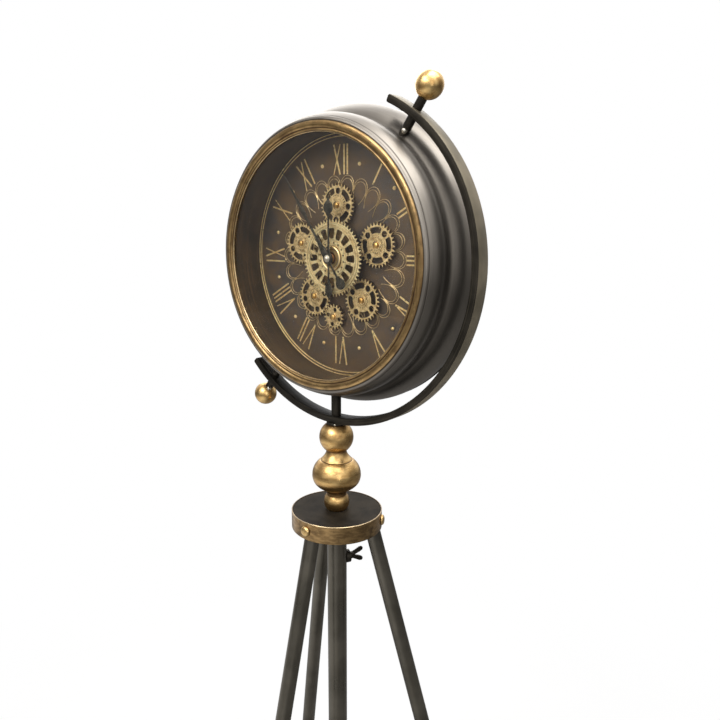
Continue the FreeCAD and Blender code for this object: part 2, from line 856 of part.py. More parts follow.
def movement_box():
    box = block(movement_size, movement_size, box_front, box_length, 0.0, 0.0)
    shafts = disc(hour_pipe_radius + slip_gap, box_front - cut_overrun, shaft_bore_length)
    pivot = disc(minute_arbor_radius + slip_gap, box_rear_depth - seat_gap - knob_wheel_thickness,
                 knob_wheel_thickness + cut_overrun, 0.0, knob_wheel_offset)
    return box.cut([shafts, pivot, cell_bay(0.0, -cell_offset)])


def motor_box():
    x, z = motor_centre()
    box = block(motor_width, motor_height, box_front, box_length, x, z)
    shaft = disc(arbor_radius + slip_gap, box_front - cut_overrun, shaft_bore_length, x, z)
    return box.cut([shaft, cell_bay(x, z - motor_cell_offset)])


def movement_cell():
    return cell(0.0, -cell_offset)


def motor_cell():
    x, z = motor_centre()
    return cell(x, z - motor_cell_offset)


def set_wheel():
    wheel = disc(knob_wheel_radius, box_rear_depth + seat_gap, knob_wheel_thickness, 0.0, knob_wheel_offset)
    pivot_start = box_rear_depth - knob_wheel_thickness
    pivot = disc(minute_arbor_radius, pivot_start, knob_wheel_thickness + seat_gap, 0.0, knob_wheel_offset)
    return wheel.fuse(pivot).removeSplitter()


def motor_switch():
    x, z = motor_centre()
    return block(switch_size, switch_size, box_rear_depth + slip_gap, switch_height,
                 x - switch_travel / 2.0, z + switch_offset)


def back_cover():
    radius = drum_rear_radius - cover_inset
    cover = disc(radius, drum_rear_depth, cover_thickness)
    rim = max(cover.Edges, key=lambda edge: edge.BoundBox.YMin)
    cover = cover.makeChamfer(cover_round, [rim])
    depth = drum_rear_depth - cut_overrun
    cover = cover.cut(disc(drum_inner_radius, depth, cover_thickness - cover_sheet + cut_overrun))
    x, z = motor_centre()
    gap = 2.0 * window_gap
    length = cover_thickness + 2.0 * cut_overrun
    return cover.cut([block(movement_size + gap, movement_size + gap, depth, length, 0.0, 0.0),
                      block(motor_width + gap, motor_height + gap, depth, length, x, z)])


def many(make, places):
    return Part.makeCompound([make(place) for place in places])


column_pieces = {
    "collar_disc": collar_disc(),
    "collar_band": collar_band(),
    "collar_screws": many(collar_screw, leg_angles.values()),
    "foot_caps": many(foot_cap, leg_angles.values()),
    "column_tube": column_tube(),
    "column_bush": column_bush(),
    "column_plug": column_plug(),
    "clamp_boss": clamp_boss(),
    "wing_screw": wing_screw(),
    "inner_pole": inner_pole(),
    "pole_shoe": pole_shoe(),
    "finial_turnings": Part.makeCompound([finial_lower_ball(), finial_bulb(), finial_upper_ball()]),
    "finial_washer": finial_washer(),
}
for name, azimuth in leg_angles.items():
    column_pieces[name] = leg(azimuth)

head_pieces = {
    "arm": arm(),
    "pivot_rods": many(pivot_rod, rod_angles),
    "knob_balls": many(knob_ball, rod_angles),
    "support_post": support_post(),
    "case_drum": case_drum(),
    "bezel": bezel(),
    "glass": glass(),
    "inner_liner": inner_liner(),
    "dial_plate": dial_plate(),
    "wheel_bottom": wheel_bottom(),
    "centre_wheel": centre_wheel(),
    "driving_wheel": driving_wheel(),
    "gear_arbors": gear_arbors(),
    "drive_shaft": drive_shaft(),
    "centre_sleeve": centre_sleeve(),
    "hour_hand": hour_hand(),
    "minute_hand": minute_hand(),
    "hand_nut": hand_nut(),
    "movement_box": movement_box(),
    "movement_cell": movement_cell(),
    "set_wheel": set_wheel(),
    "motor_box": motor_box(),
    "motor_cell": motor_cell(),
    "motor_switch": motor_switch(),
    "back_cover": back_cover(),
}
for name in satellite_names:
    head_pieces[name] = satellite(name)

os.makedirs("parts", exist_ok=True)
for pieces, place in ((column_pieces, column_place), (head_pieces, dial_place)):
    for name, shape in pieces.items():
        shape.translate(place)
        shape.exportStep("parts/" + name + ".step")
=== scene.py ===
import json
import math

import bmesh
import bpy
from mathutils import Matrix, Vector


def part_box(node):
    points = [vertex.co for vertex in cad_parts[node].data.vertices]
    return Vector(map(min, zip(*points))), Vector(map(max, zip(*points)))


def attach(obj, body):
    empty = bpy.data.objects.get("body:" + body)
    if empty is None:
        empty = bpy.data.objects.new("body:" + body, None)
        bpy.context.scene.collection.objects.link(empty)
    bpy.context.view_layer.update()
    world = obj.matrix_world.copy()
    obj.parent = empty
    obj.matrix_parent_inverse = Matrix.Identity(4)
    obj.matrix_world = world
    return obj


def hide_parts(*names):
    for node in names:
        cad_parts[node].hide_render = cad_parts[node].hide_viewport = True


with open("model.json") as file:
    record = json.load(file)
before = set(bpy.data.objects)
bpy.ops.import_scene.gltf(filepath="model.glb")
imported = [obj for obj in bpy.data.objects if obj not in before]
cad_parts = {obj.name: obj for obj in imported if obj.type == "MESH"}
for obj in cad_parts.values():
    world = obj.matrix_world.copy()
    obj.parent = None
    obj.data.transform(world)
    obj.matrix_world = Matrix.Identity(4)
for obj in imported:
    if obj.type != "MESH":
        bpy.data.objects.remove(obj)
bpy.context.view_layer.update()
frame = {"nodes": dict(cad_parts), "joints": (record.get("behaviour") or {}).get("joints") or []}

# The camera stands to the right of the clock, a little higher than the dial, and looks down on it.
# Its place, turn and lens were solved from the ellipses of the case; the frame is square.
MM = 0.001
UP = Vector((0.0, 0.0, 1.0))
camera_place = Vector((705.0, -723.9, 1407.5)) * MM
camera_turn, camera_tilt, camera_lean = (math.radians(angle) for angle in (-41.80, -11.37, -0.35))
lens_pixels, frame_pixels, principal = 676.1, 720.0, (332.8, 353.6)


def linked(name, data):
    thing = bpy.data.objects.new(name, data)
    bpy.context.scene.collection.objects.link(thing)
    return thing


camera_data = bpy.data.cameras.new("Camera")
camera = linked("Camera", camera_data)
bpy.context.scene.camera = camera
ahead = Vector((math.sin(camera_turn) * math.cos(camera_tilt), math.cos(camera_turn) * math.cos(camera_tilt),
                math.sin(camera_tilt)))
level = ahead.cross(UP).normalized()
upright = level.cross(ahead)
right = math.cos(camera_lean) * level + math.sin(camera_lean) * upright
up = math.cos(camera_lean) * upright - math.sin(camera_lean) * level
camera.matrix_world = Matrix.Translation(camera_place) @ Matrix((right, up, -ahead)).transposed().to_4x4()
camera_data.sensor_width = 36.0
camera_data.lens = lens_pixels / frame_pixels * camera_data.sensor_width
camera_data.shift_x = (frame_pixels / 2.0 - principal[0]) / frame_pixels
camera_data.shift_y = (principal[1] - frame_pixels / 2.0) / frame_pixels
camera_data.clip_start, camera_data.clip_end = 0.05, 50.0


# The studio: a pale floor, a white surround and five soft lamps. The surround shows white to the eye,
# and grades to grey in what metal and glass mirror, so that turned shapes read.
def colour(red, green, blue):
    """A colour in the eye's 0 to 255, as the shaders take it."""
    shares = (value / 255.0 for value in (red, green, blue))
    return tuple(s / 12.92 if s <= 0.04045 else ((s + 0.055) / 1.055) ** 2.4 for s in shares) + (1.0,)


class Tap:
    """One value in a node tree, which can be reckoned with like a number."""

    def __init__(self, wiring, socket):
        self.wiring, self.socket = wiring, socket

    def other(self, output):
        return Tap(self.wiring, self.socket.node.outputs[output])

    def maths(self, operation, *values):
        return self.wiring.node("ShaderNodeMath", {"operation": operation}, values)

    def __add__(self, value):
        return self.maths("ADD", self, value)

    def __sub__(self, value):
        return self.maths("SUBTRACT", self, value)

    def __rsub__(self, value):
        return self.maths("SUBTRACT", value, self)

    def __mul__(self, value):
        return self.maths("MULTIPLY", self, value)

    def __truediv__(self, value):
        return self.maths("DIVIDE", self, value)

    __radd__ = __add__
    __rmul__ = __mul__

    def between(self, low, high, start=0.0, end=1.0):
        """start where the value is low, end where it is high, and smooth in between."""
        settings = {"interpolation_type": "SMOOTHSTEP"}
        return self.wiring.node("ShaderNodeMapRange", settings, (self, low, high, start, end))


class Wiring:
    """The nodes of a finish, of the surround or of a shape."""

    def __init__(self, tree):
        self.tree = tree

    def feed(self, socket, value):
        if isinstance(value, Tap):
            self.tree.links.new(value.socket, socket)
        else:
            socket.default_value = value

    def node(self, kind, settings=None, values=(), output=0):
        made = self.tree.nodes.new(kind)
        for setting, value in (settings or {}).items():
            setattr(made, setting, value)
        for place, value in values.items() if isinstance(values, dict) else enumerate(values):
            self.feed(made.inputs[place], value)
        return None if output is None else Tap(self, made.outputs[output])

    def parts(self, vector):
        return self.node("ShaderNodeSeparateXYZ", values=(vector,))

    def mix(self, share, first, second):
        """The first colour, and the second by a share; a plain one is in the eye's 0 to 255."""
        first, second = (shade if isinstance(shade, Tap) else colour(*shade) for shade in (first, second))
        return self.node("ShaderNodeMix", {"data_type": "RGBA"}, {0: share, 6: first, 7: second}, 2)


studio = bpy.data.worlds.new("Studio")
studio.use_nodes = True
bpy.context.scene.world = studio
air = Wiring(studio.node_tree)
seen = air.node("ShaderNodeLightPath", output="Is Camera Ray")
mirrored = seen.other("Is Glossy Ray") + seen.other("Is Transmission Ray")
sky = air.parts(air.node("ShaderNodeTexCoord", output="Generated"))
sky_y, sky_z = sky.other("Y"), sky.other("Z")
behind_right = sky.between(0.0, 0.6) * sky_y.between(-0.1, 0.4) * (1 - sky_z.between(0.2, 0.8))
front_left = (0 - sky).between(0.2, 0.7) * (0 - sky_y).between(0.0, 0.4)
graded = sky_z.between(-0.30, 0.40, 0.20, 1.0) * (1 - behind_right * 0.75) * (1 - front_left * 0.70)
even_light = 0.50
strength = seen + (1 - seen) * (mirrored * graded + (1 - mirrored.between(0.0, 0.5)) * even_light)
surround = studio.node_tree.nodes["Background"]
surround.inputs["Color"].default_value = (1.0, 1.0, 1.0, 1.0)
air.feed(surround.inputs["Strength"], strength)

reach = 7.0
floor_mesh = bpy.data.meshes.new("Floor")
corners = [(x * reach, y * reach, 0.0) for x, y in ((-1, -1), (1, -1), (1, 1), (-1, 1))]
floor_mesh.from_pydata(corners, [], [(0, 1, 2, 3)])
floor = linked("Floor", floor_mesh)
floor_paint = bpy.data.materials.new("Studio floor")
floor_paint.use_nodes = True
floor_mesh.materials.append(floor_paint)
ground = Wiring(floor_paint.node_tree)
ground_shader = floor_paint.node_tree.nodes["Principled BSDF"]
spot = ground.node("ShaderNodeTexCoord", output="Object")
speckle = ground.node("ShaderNodeTexNoise", values={"Vector": spot, "Scale": 9.0, "Detail": 4.0})
ground.feed(ground_shader.inputs["Base Color"], ground.mix(speckle, (236, 235, 233), (242, 241, 240)))
ground.feed(ground_shader.inputs["Roughness"], 0.9)
far = ground.node("ShaderNodeVectorMath", {"operation": "LENGTH"}, (spot,), "Value")
seen = ground.node("ShaderNodeLightPath", output="Is Camera Ray")
mirrored = (seen.other("Is Glossy Ray") + seen.other("Is Transmission Ray")).between(0.0, 0.5)
apart = ground.parts(spot)
# Painted light: in what metal and glass mirror, the floor glows as a pool, brighter to the front left and fading
# with distance.
painted_light_pool = (0 - apart * 0.7 - apart.other("Y")).between(-0.2, 1.2, 0.05, 0.80) * far.between(1.6, 3.6, 1.0, 0.15)
white, dim = (ground.node("ShaderNodeEmission", values={"Strength": strength}) for strength in (1.0, painted_light_pool))
lit = Tap(ground, ground_shader.outputs["BSDF"])
near = ground.node("ShaderNodeMixShader", values=(seen * far.between(0.5, 1.6, 0.62, 1.0), lit, white))
whole = ground.node("ShaderNodeMixShader", values=(mirrored * 0.8, near, dim))
ground.feed(floor_paint.node_tree.nodes["Material Output"].inputs["Surface"], whole)

dial_spot = Vector((0.0, 0.05, 1.30))
for name, place, width, depth, watts in (
        ("Key lamp", (-0.35, -1.75, 2.95), 1.3, 1.3, 20.0), ("Front lamp", (0.35, -1.9, 2.45), 1.3, 0.5, 9.0),
        ("Top lamp", (0.75, 0.15, 3.1), 1.8, 1.4, 34.0), ("Back lamp", (-1.5, 1.7, 2.6), 2.4, 2.4, 46.0),
        ("Side lamp", (2.4, -1.7, 1.5), 0.5, 1.6, 5.0)):
    lamp = bpy.data.lights.new(name, "AREA")
    lamp.shape = "RECTANGLE"
    lamp.size, lamp.size_y, lamp.energy = width, depth, watts
    holder = linked(name, lamp)
    holder.location = place
    holder.rotation_euler = (dial_spot - Vector(place)).to_track_quat("-Z", "Y").to_euler()
bpy.context.scene.view_settings.view_transform = "Standard"


# Legs: three straight steel tubes, splayed from the collar, in a dark bronze lacquer that lets a little
# of the metal show. They are pushed into slanted sockets, and each ends in a black rubber cap.
def finished(name, metallic, even=None):
    """A new material with its wiring, whose place is the piece's own coordinates."""
    paint = bpy.data.materials.new(name)
    paint.use_nodes = True
    wiring = Wiring(paint.node_tree)
    wiring.paint, wiring.shader = paint, paint.node_tree.nodes["Principled BSDF"]
    wiring.place = wiring.node("ShaderNodeTexCoord", output="Object")
    for socket, value in {"Metallic": metallic, **(even or {})}.items():
        wiring.feed(wiring.shader.inputs[socket], value)
    return wiring


def grain(wiring, scale, detail=3.0, stretch=(1.0, 1.0, 1.0), roughness=0.55):
    """Noise of so many waves in a metre, drawn out along an axis by a small stretch."""
    where = wiring.node("ShaderNodeMapping", values={"Vector": wiring.place, "Scale": stretch})
    values = {"Vector": where, "Scale": scale, "Detail": detail, "Roughness": roughness}
    return wiring.node("ShaderNodeTexNoise", values=values)


def surface(wiring, tone, roughness, height=None, depth=0.0):
    """The material, once it is fed with what changes over the piece, and a relief of so many metres."""
    changing = {"Base Color": tone, "Roughness": roughness}
    if height is not None:
        values = {"Height": height, "Distance": depth}
        changing["Normal"] = wiring.node("ShaderNodeBump", values=values, output="Normal")
    for socket, value in changing.items():
        wiring.feed(wiring.shader.inputs[socket], value)
    return wiring.paint


def joined_mesh(name, build, paint, smooth=32.0):
    """An object at the origin, from a bmesh with its doubles merged and its faces turned outwards."""
    mesh = bpy.data.meshes.new(name)
    bmesh.ops.remove_doubles(build, verts=build.verts, dist=0.000002)
    bmesh.ops.recalc_face_normals(build, faces=build.faces)
    build.to_mesh(mesh)
    build.free()
    mesh.materials.append(paint)
    mesh.shade_smooth()
    mesh.set_sharp_from_angle(angle=math.radians(smooth))
    return linked(name, mesh)


def turn_outline(build, outline, place, axis, steps=128, ring=True):
    """Turns (radius, height) points in mm, some with a share of patina and painted light, about an axis; ring
    closes the outline.
    """
    patina_and_painted_light = build.verts.layers.float.get("patina_and_painted_light") or build.verts.layers.float.new("patina_and_painted_light")
    spin = Vector(axis).to_track_quat("Z", "Y").to_matrix()
    rows = []
    for radius, height, *dark in outline:
        row = []
        for k in range(steps if radius > 0.0 else 1):
            angle = math.tau * k / steps
            local = Vector((radius * math.cos(angle), radius * math.sin(angle), height)) * MM
            vertex = build.verts.new(Vector(place) + spin @ local)
            vertex[patina_and_painted_light] = dark[0] if dark else 0.0
            row.append(vertex)
        rows.append(row)
    for low, high in zip(rows, rows[1:] + (rows[:1] if ring else [])):
        for k in range(steps):
            corners = [row[step % len(row)] for row, step in ((low, k), (low, k + 1), (high, k + 1), (high, k))]
            corners = list(dict.fromkeys(corners))
            if len(corners) > 2:
                build.faces.new(corners)


def turned(name, outline, place, axis, paint, steps=128, smooth=32.0, ring=True):
    """A piece turned about an axis."""
    build = bmesh.new()
    turn_outline(build, outline, place, axis, steps, ring)
    return joined_mesh(name, build, paint, smooth)


def settle(piece, body, slot, *nodes):
    """Rides a piece on its body, and hides the CAD solids that it stands for; its slot is not used."""
    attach(piece, body)
    if nodes:
        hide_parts(*nodes)


def dress(paint, *nodes):
    """Gives CAD solids, whose shape is right as it is, a finish of their own."""
    for node in nodes:
        frame["nodes"][node].material_slots[0].material = paint


def tube_outline(radius, wall, edge, start, end):
    """A tube's wall between two heights, with its outer corners eased."""
    return [(radius - edge, start), (radius, start + edge), (radius, end - edge), (radius - edge, end),
            (radius - wall, end), (radius - wall, start)]


train_axis = next(joint["pos_m"] for joint in frame["joints"] if joint["name"] == "centre_turn")
collar_low, collar_high = (corner.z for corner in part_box("collar_disc"))
tube_low, tube_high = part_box("column_tube")
column = Vector((train_axis[0], (tube_low.y + tube_high.y) / 2.0, 0.0))

lacquer = finished("Leg bronze lacquer", 0.85)
drawn = grain(lacquer, 260.0, 4.0, (1.0, 1.0, 0.03))
cloud = grain(lacquer, 14.0)
tone = lacquer.mix(cloud.between(0.35, 0.65), (92, 88, 79), (110, 105, 95))
tone = lacquer.mix(drawn.between(0.40, 0.75) * 0.15, tone, (122, 112, 94))
leg_bronze = surface(lacquer, tone, cloud.between(0.3, 0.7, 0.27, 0.35), drawn, 0.00006)

leg_splay, leg_circle, leg_radius, leg_wall = math.radians(14.3), 59.5, 12.5, 2.0
leg_in_socket, leg_sole = 18.0, 8.0
leg_length = collar_low / MM / math.cos(leg_splay) - leg_sole
leg_outline = tube_outline(leg_radius, leg_wall, 0.6, -leg_in_socket, leg_length)
for node, azimuth in (("leg_front", -90.0), ("leg_right", 30.0), ("leg_left", 150.0)):
    outwards = Vector((math.cos(math.radians(azimuth)), math.sin(math.radians(azimuth)), 0.0))
    start = column + UP * collar_low + outwards * leg_circle * MM
    down = outwards * math.sin(leg_splay) - UP * math.cos(leg_splay)
    settle(turned("Tube_" + node, leg_outline, start, down, leg_bronze, 72), "tripod", "bronze_steel", node)

rubber = finished("Foot rubber", 0.0)
pebbles = grain(rubber, 900.0, 2.0)
tone = rubber.mix(grain(rubber, 40.0), (30, 30, 30), (47, 46, 45))
dress(surface(rubber, tone, pebbles.between(0.3, 0.7, 0.62, 0.80), pebbles, 0.00012), "foot_caps")

# Column: a wider steel tube through the collar's bore, in the same bronze lacquer, with a turned edge.
# The pole that carries the clock slides in it, on a plastic bush and shoe, and a plug closes its end.
column_outline = tube_outline(16.5, 2.0, 0.8, 0.0, (tube_high.z - tube_low.z) / MM)
settle(turned("Tube_column", column_outline, column + UP * tube_low.z, UP, leg_bronze, 96),
       "tripod", "bronze_steel", "column_tube")

moulded = finished("Moulded black plastic", 0.0, {"Specular IOR Level": 0.4})
spark = grain(moulded, 1400.0, 2.0)
tone = moulded.mix(grain(moulded, 60.0), (33, 33, 34), (44, 44, 45))
black_plastic = surface(moulded, tone, spark.between(0.35, 0.65, 0.42, 0.56), spark, 0.00005)
dress(black_plastic, "column_bush", "column_plug", "pole_shoe")

# Clamp: a welded boss on the tube and a black wing screw that presses on the pole.
# The wings are pressed round the hub, thick at the root and rounded at the tips.
coat = finished("Black steel coat", 0.75)
cloud, drag = grain(coat, 22.0), grain(coat, 520.0)
tone = coat.mix(cloud.between(0.35, 0.68), (40, 37, 33), (62, 57, 49))
tone = coat.mix(drag.between(0.52, 0.80) * 0.30, tone, (112, 100, 80))
black_coat = surface(coat, tone, cloud.between(0.3, 0.7, 0.32, 0.44), drag, 0.00007)
dress(black_coat, "clamp_boss", "inner_pole", "support_post")


def skinned(build, rows):
    """Faces between rows of corners, each laid over the last, and over both ends."""
    for low, high in zip(rows, rows[1:]):
        for k in range(len(low)):
            build.faces.new([low[k - 1], low[k], high[k], high[k - 1]])
    build.faces.new(rows[0])
    build.faces.new(rows[-1])


clamp_azimuth = math.radians(64.0)
clamp_out = Vector((math.cos(clamp_azimuth), math.sin(clamp_azimuth), 0.0))
clamp_across = clamp_out.cross(UP)
clamp_start = column + UP * sum(corner.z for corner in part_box("wing_screw")) / 2.0
screw_outline = [(0, 12.7), (3.2, 12.7), (4, 13.5)]
for k in range(8):
    screw_outline += [(4, 14.0 + k), (3.6, 14.5 + k, 0.6)]
screw_outline += [(4, 22.7), (5.2, 22.7), (6, 23.5), (6, 30.5), (5, 31.7), (0, 31.7)]
build = bmesh.new()
turn_outline(build, screw_outline, clamp_start, clamp_out, 40, False)
wing_points = [(26.5, 1), (26.5, 5), (34, 8.5), (41, 12.3), (45.5, 12.8), (47.8, 10.6), (47.2, 6.8),
               (42, 3.6), (34.5, 1), (31, 0)]
wing_middle, wing_layers = Vector((38.0, 6.0)), ((-2.0, 0.8), (-1.2, 0.0), (1.2, 0.0), (2.0, 0.8))
for way in (1.0, -1.0):
    rows = []
    for offset, inset in wing_layers:
        points = [Vector(point) for point in wing_points]
        points = [point + (wing_middle - point).normalized() * inset for point in points]
        places = [clamp_out * out + UP * rise * way + clamp_across * offset for out, rise in points]
        rows.append([build.verts.new(clamp_start + place * MM) for place in places])
    skinned(build, rows)
settle(joined_mesh("Wing_screw_turned", build, black_coat, 40.0), "clamp", "black_steel", "wing_screw")


# Collar: a thick steel disc, lacquered dark bronze and turned, so its face keeps faint rings.
# A brass-plated band is pressed round it, rubbed through to gold, with a painted highlight along its thin upper
# edge.
def round_axis(wiring, centre, upright_axis):
    """Radius, height along the axis and a direction round it, for marks that a lathe leaves."""
    apart = wiring.parts(wiring.place)
    first, deep, high = apart - centre.x, apart.other("Y") - centre.y, apart.other("Z") - centre.z
    second, along = (deep, high) if upright_axis else (high, deep)
    radius = first.maths("MAXIMUM", first.maths("SQRT", first * first + second * second), 0.0001)
    return radius, along, first / radius, second / radius


def lathe_marks(wiring, centre, upright_axis, round_scale, ring_scale, detail=3.0):
    radius, along, first, second = round_axis(wiring, centre, upright_axis)
    where = wiring.node("ShaderNodeCombineXYZ",
                        values=(first * round_scale, second * round_scale, radius * ring_scale))
    values = {"Vector": where, "W": along * ring_scale, "Scale": 1.0, "Detail": detail}
    return wiring.node("ShaderNodeTexNoise", {"noise_dimensions": "4D"}, values)


collar_centre = column + UP * collar_low
face = finished("Collar bronze lacquer", 0.05, {"Specular IOR Level": 0.02})
rings = lathe_marks(face, collar_centre, True, 1.2, 900.0)
tone = face.mix(grain(face, 24.0, 4.0).between(0.32, 0.68), (38, 34, 29), (56, 50, 42))
tone = face.mix(rings.between(0.5, 0.8) * 0.25, tone, (92, 82, 68))
collar_bronze = surface(face, tone, rings.between(0.3, 0.7, 0.50, 0.60), rings, 0.00005)
disc_radius, disc_edge, disc_bore, disc_height = 73.6, 0.7, 16.55, (collar_high - collar_low) / MM
disc_outline = [(disc_bore, 0), (disc_radius - disc_edge, 0), (disc_radius, disc_edge),
                (disc_radius, disc_height - disc_edge), (disc_radius - disc_edge, disc_height),
                (disc_bore + 0.5, disc_height), (disc_bore, disc_height - 0.5)]
settle(turned("Collar_turned_disc", disc_outline, collar_centre, UP, collar_bronze, 160),
       "tripod", "bronze_steel", "collar_disc")


def rubbed_brass(name, centre, upright_axis, gold, worn, dark, round_scale, ring_scale, smoke):
    """Brass under dark wax, rubbed off the crests: the patina share is 1 in a groove, and below 0 it paints a
    pale highlight on an edge.
    """
    wiring = finished(name, 1.0, {"Coat Weight": 0.25, "Coat Roughness": 0.30})
    marks = lathe_marks(wiring, centre, upright_axis, round_scale, ring_scale)
    blotch, pits = grain(wiring, 46.0, 5.0, roughness=0.62), grain(wiring, 420.0)
    deep = wiring.node("ShaderNodeAttribute", {"attribute_name": "patina_and_painted_light"}, output="Fac")
    stain = blotch.between(0.62 - 0.28 * smoke, 0.80) * 0.75 + pits.between(0.62, 0.78) * 0.35
    tone = wiring.mix(marks.between(0.34, 0.66), gold, worn)
    tone = wiring.mix(stain.between(0.0, 1.0), tone, dark)
    tone = wiring.mix(deep, tone, dark)
    # Painted highlight: where the share is below 0, the tone turns pale, towards near-white gold, as on a lit
    # edge.
    tone = wiring.mix(deep.between(-0.4, 0.0, 1.0, 0.0), tone, wiring.mix(0.5, gold, (255, 236, 196)))
    roughness = (blotch + deep * 0.3).between(0.3, 0.9, 0.26, 0.50)
    return surface(wiring, tone, roughness, marks * 0.6 + pits * 0.4, 0.00010)


band_brass = rubbed_brass("Rubbed collar band", collar_centre, True, (196, 160, 108), (150, 120, 78),
                          (66, 52, 36), 7.0, 260.0, 0.8)
band_low, band_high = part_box("collar_band")
band_outer, band_height = (band_high.x - band_low.x) / 2.0 / MM, (band_high.z - band_low.z) / MM
band_inner, band_crest = band_outer - 2.0, band_outer - 0.5
# The negative shares on the upper edge paint a highlight there.
band_outline = [(band_inner, 0, 0.6), (band_crest, 0, 0.5), (band_outer, 0.5, 0.2),
                (band_outer, band_height - 1.6, 0.05), (band_outer, band_height - 0.5, -0.3),
                (band_crest, band_height, -0.3), (band_crest - 0.15, band_height, 0.9),
                (band_inner + 0.4, band_height, 0.9), (band_inner, band_height - 0.4, 0.9)]
settle(turned("Collar_rubbed_band", band_outline, column + UP * band_low.z, UP, band_brass, 160),
       "tripod", "bronze_steel", "collar_band")


# Collar screws: three dome-headed brass screws, one over each leg, that lock the legs in their sockets.
# One is turned here, and a ring of copies carries it round the column.
def shape_tree(name, inputs):
    """A new tree for shapes: its wiring, what it is given, and the identifier of each named input."""
    tree = bpy.data.node_groups.new(name, "GeometryNodeTree")
    sockets = {}
    for label, kind in inputs.items():
        socket = tree.interface.new_socket(label, in_out="INPUT", socket_type="NodeSocket" + kind)
        sockets[label] = socket.identifier
    tree.interface.new_socket("Geometry", in_out="OUTPUT", socket_type="NodeSocketGeometry")
    wiring = Wiring(tree)
    return wiring, wiring.node("NodeGroupInput"), sockets


def hand_over(wiring, given, shape):
    """Ends a tree: the shape is made real, and gets its material."""
    real = wiring.node("GeometryNodeRealizeInstances", {}, {"Geometry": shape})
    values = {"Geometry": real, "Material": given.other("Finish")}
    painted = wiring.node("GeometryNodeSetMaterial", {}, values)
    wiring.node("NodeGroupOutput", {}, (painted,), None)
    return wiring.tree


def ring_tree():
    """Turns its geometry about an axis through a centre, so many times in a full round."""
    wiring, given, sockets = shape_tree("Ring of copies", {
        "Geometry": "Geometry", "Count": "Int", "First Angle": "Float", "Centre": "Vector", "Axis": "Vector",
        "Finish": "Material"})
    count = given.other("Count")
    points = wiring.node("GeometryNodePoints", {}, {"Count": count})
    angle = wiring.node("GeometryNodeInputIndex") / count * math.tau + given.other("First Angle")
    copies = wiring.node("GeometryNodeInstanceOnPoints", {}, {"Points": points, "Instance": given})
    rotation = wiring.node("FunctionNodeAxisAngleToRotation", {}, {"Axis": given.other("Axis"), "Angle": angle})
    spun = wiring.node("GeometryNodeRotateInstances", {}, {
        "Instances": copies, "Rotation": rotation, "Pivot Point": given.other("Centre"), "Local Space": False})
    return hand_over(wiring, given, spun), sockets


ring_of_copies, ring_sockets = ring_tree()


def shaped_by(thing, tree, sockets, values):
    """Adds a tree to an object as a modifier, with its inputs set by their identifiers."""
    modifier = thing.modifiers.new(tree.name, "NODES")
    modifier.node_group = tree
    for label, value in values.items():
        modifier[sockets[label]] = value
    return modifier


def plain_mesh(thing):
    """The mesh that an object's curve and modifiers come to."""
    bpy.context.view_layer.update()
    return bpy.data.meshes.new_from_object(thing.evaluated_get(bpy.context.evaluated_depsgraph_get()))


def carried_round(piece, count, first_angle, centre, axis):
    """The piece as a plain mesh of so many copies in a ring."""
    ring = shaped_by(piece, ring_of_copies, ring_sockets, {
        "Count": count, "First Angle": math.radians(first_angle), "Centre": centre, "Axis": axis,
        "Finish": piece.data.materials[0]})
    mesh = plain_mesh(piece)
    piece.modifiers.remove(ring)
    piece.data = mesh
    return piece


screw_brass = rubbed_brass("Screw brass", collar_centre, True, (238, 204, 142), (210, 172, 112),
                           (120, 90, 52), 30.0, 500.0, 0.1)
screw_height = sum(corner.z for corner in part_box("collar_screws")) / 2.0
screw_dome = [(8, 0.1, 0.6), (8.7, 0.7, 0.35), (8.5, 1.8, 0.1), (7.6, 3.2), (6.1, 4.2), (4, 4.8), (2, 5),
              (0, 5)]
dome_outline = [(0, 71), (3.9, 71), (3.9, band_outer, 0.5)]
dome_outline += [(radius, band_outer + proud, *dark) for radius, proud, *dark in screw_dome]
screws = turned("Collar_dome_screws", dome_outline, column + UP * screw_height, (0.0, -1.0, 0.0),
                screw_brass, 48, ring=False)
settle(carried_round(screws, 3, 0.0, column, UP), "tripod", "antique_brass", "collar_screws")


# Finial: a small ball, a baluster bulb and a larger ball, turned from brass and threaded over the pole.
# Dark wax stays in the necks and the cut lines. A black washer sits on top, and the head turns on it.
def flowing(points, steps=6):
    """More points on a smooth line through the given (radius, height) points, some with a share of patina and
    painted light.
    """
    points = [(*point, 0.0)[:3] for point in points]
    line = []
    for k in range(len(points) - 1):
        nearby = (points[max(k - 1, 0)], points[k], points[k + 1], points[min(k + 2, len(points) - 1)])
        for t in (step / steps for step in range(steps)):
            line.append(tuple(0.5 * (2.0 * b + (c - a) * t + (2.0 * a - 5.0 * b + 4.0 * c - d) * t * t
                                     + (3.0 * b - a - 3.0 * c + d) * t ** 3) for a, b, c, d in zip(*nearby)))
    return line + [points[-1]]


def ball_side(radius, middle, bottom, top, steps=22):
    """The side of a ball between two heights, darker near its ends."""
    first, last = math.asin((bottom - middle) / radius), math.asin((top - middle) / radius)
    side = []
    for k in range(steps + 1):
        angle = first + (last - first) * k / steps
        dark = 0.9 * max(0.0, 1.0 - 5.0 * min(k, steps - k) / steps)
        side.append((radius * math.cos(angle), middle + radius * math.sin(angle), dark))
    return side


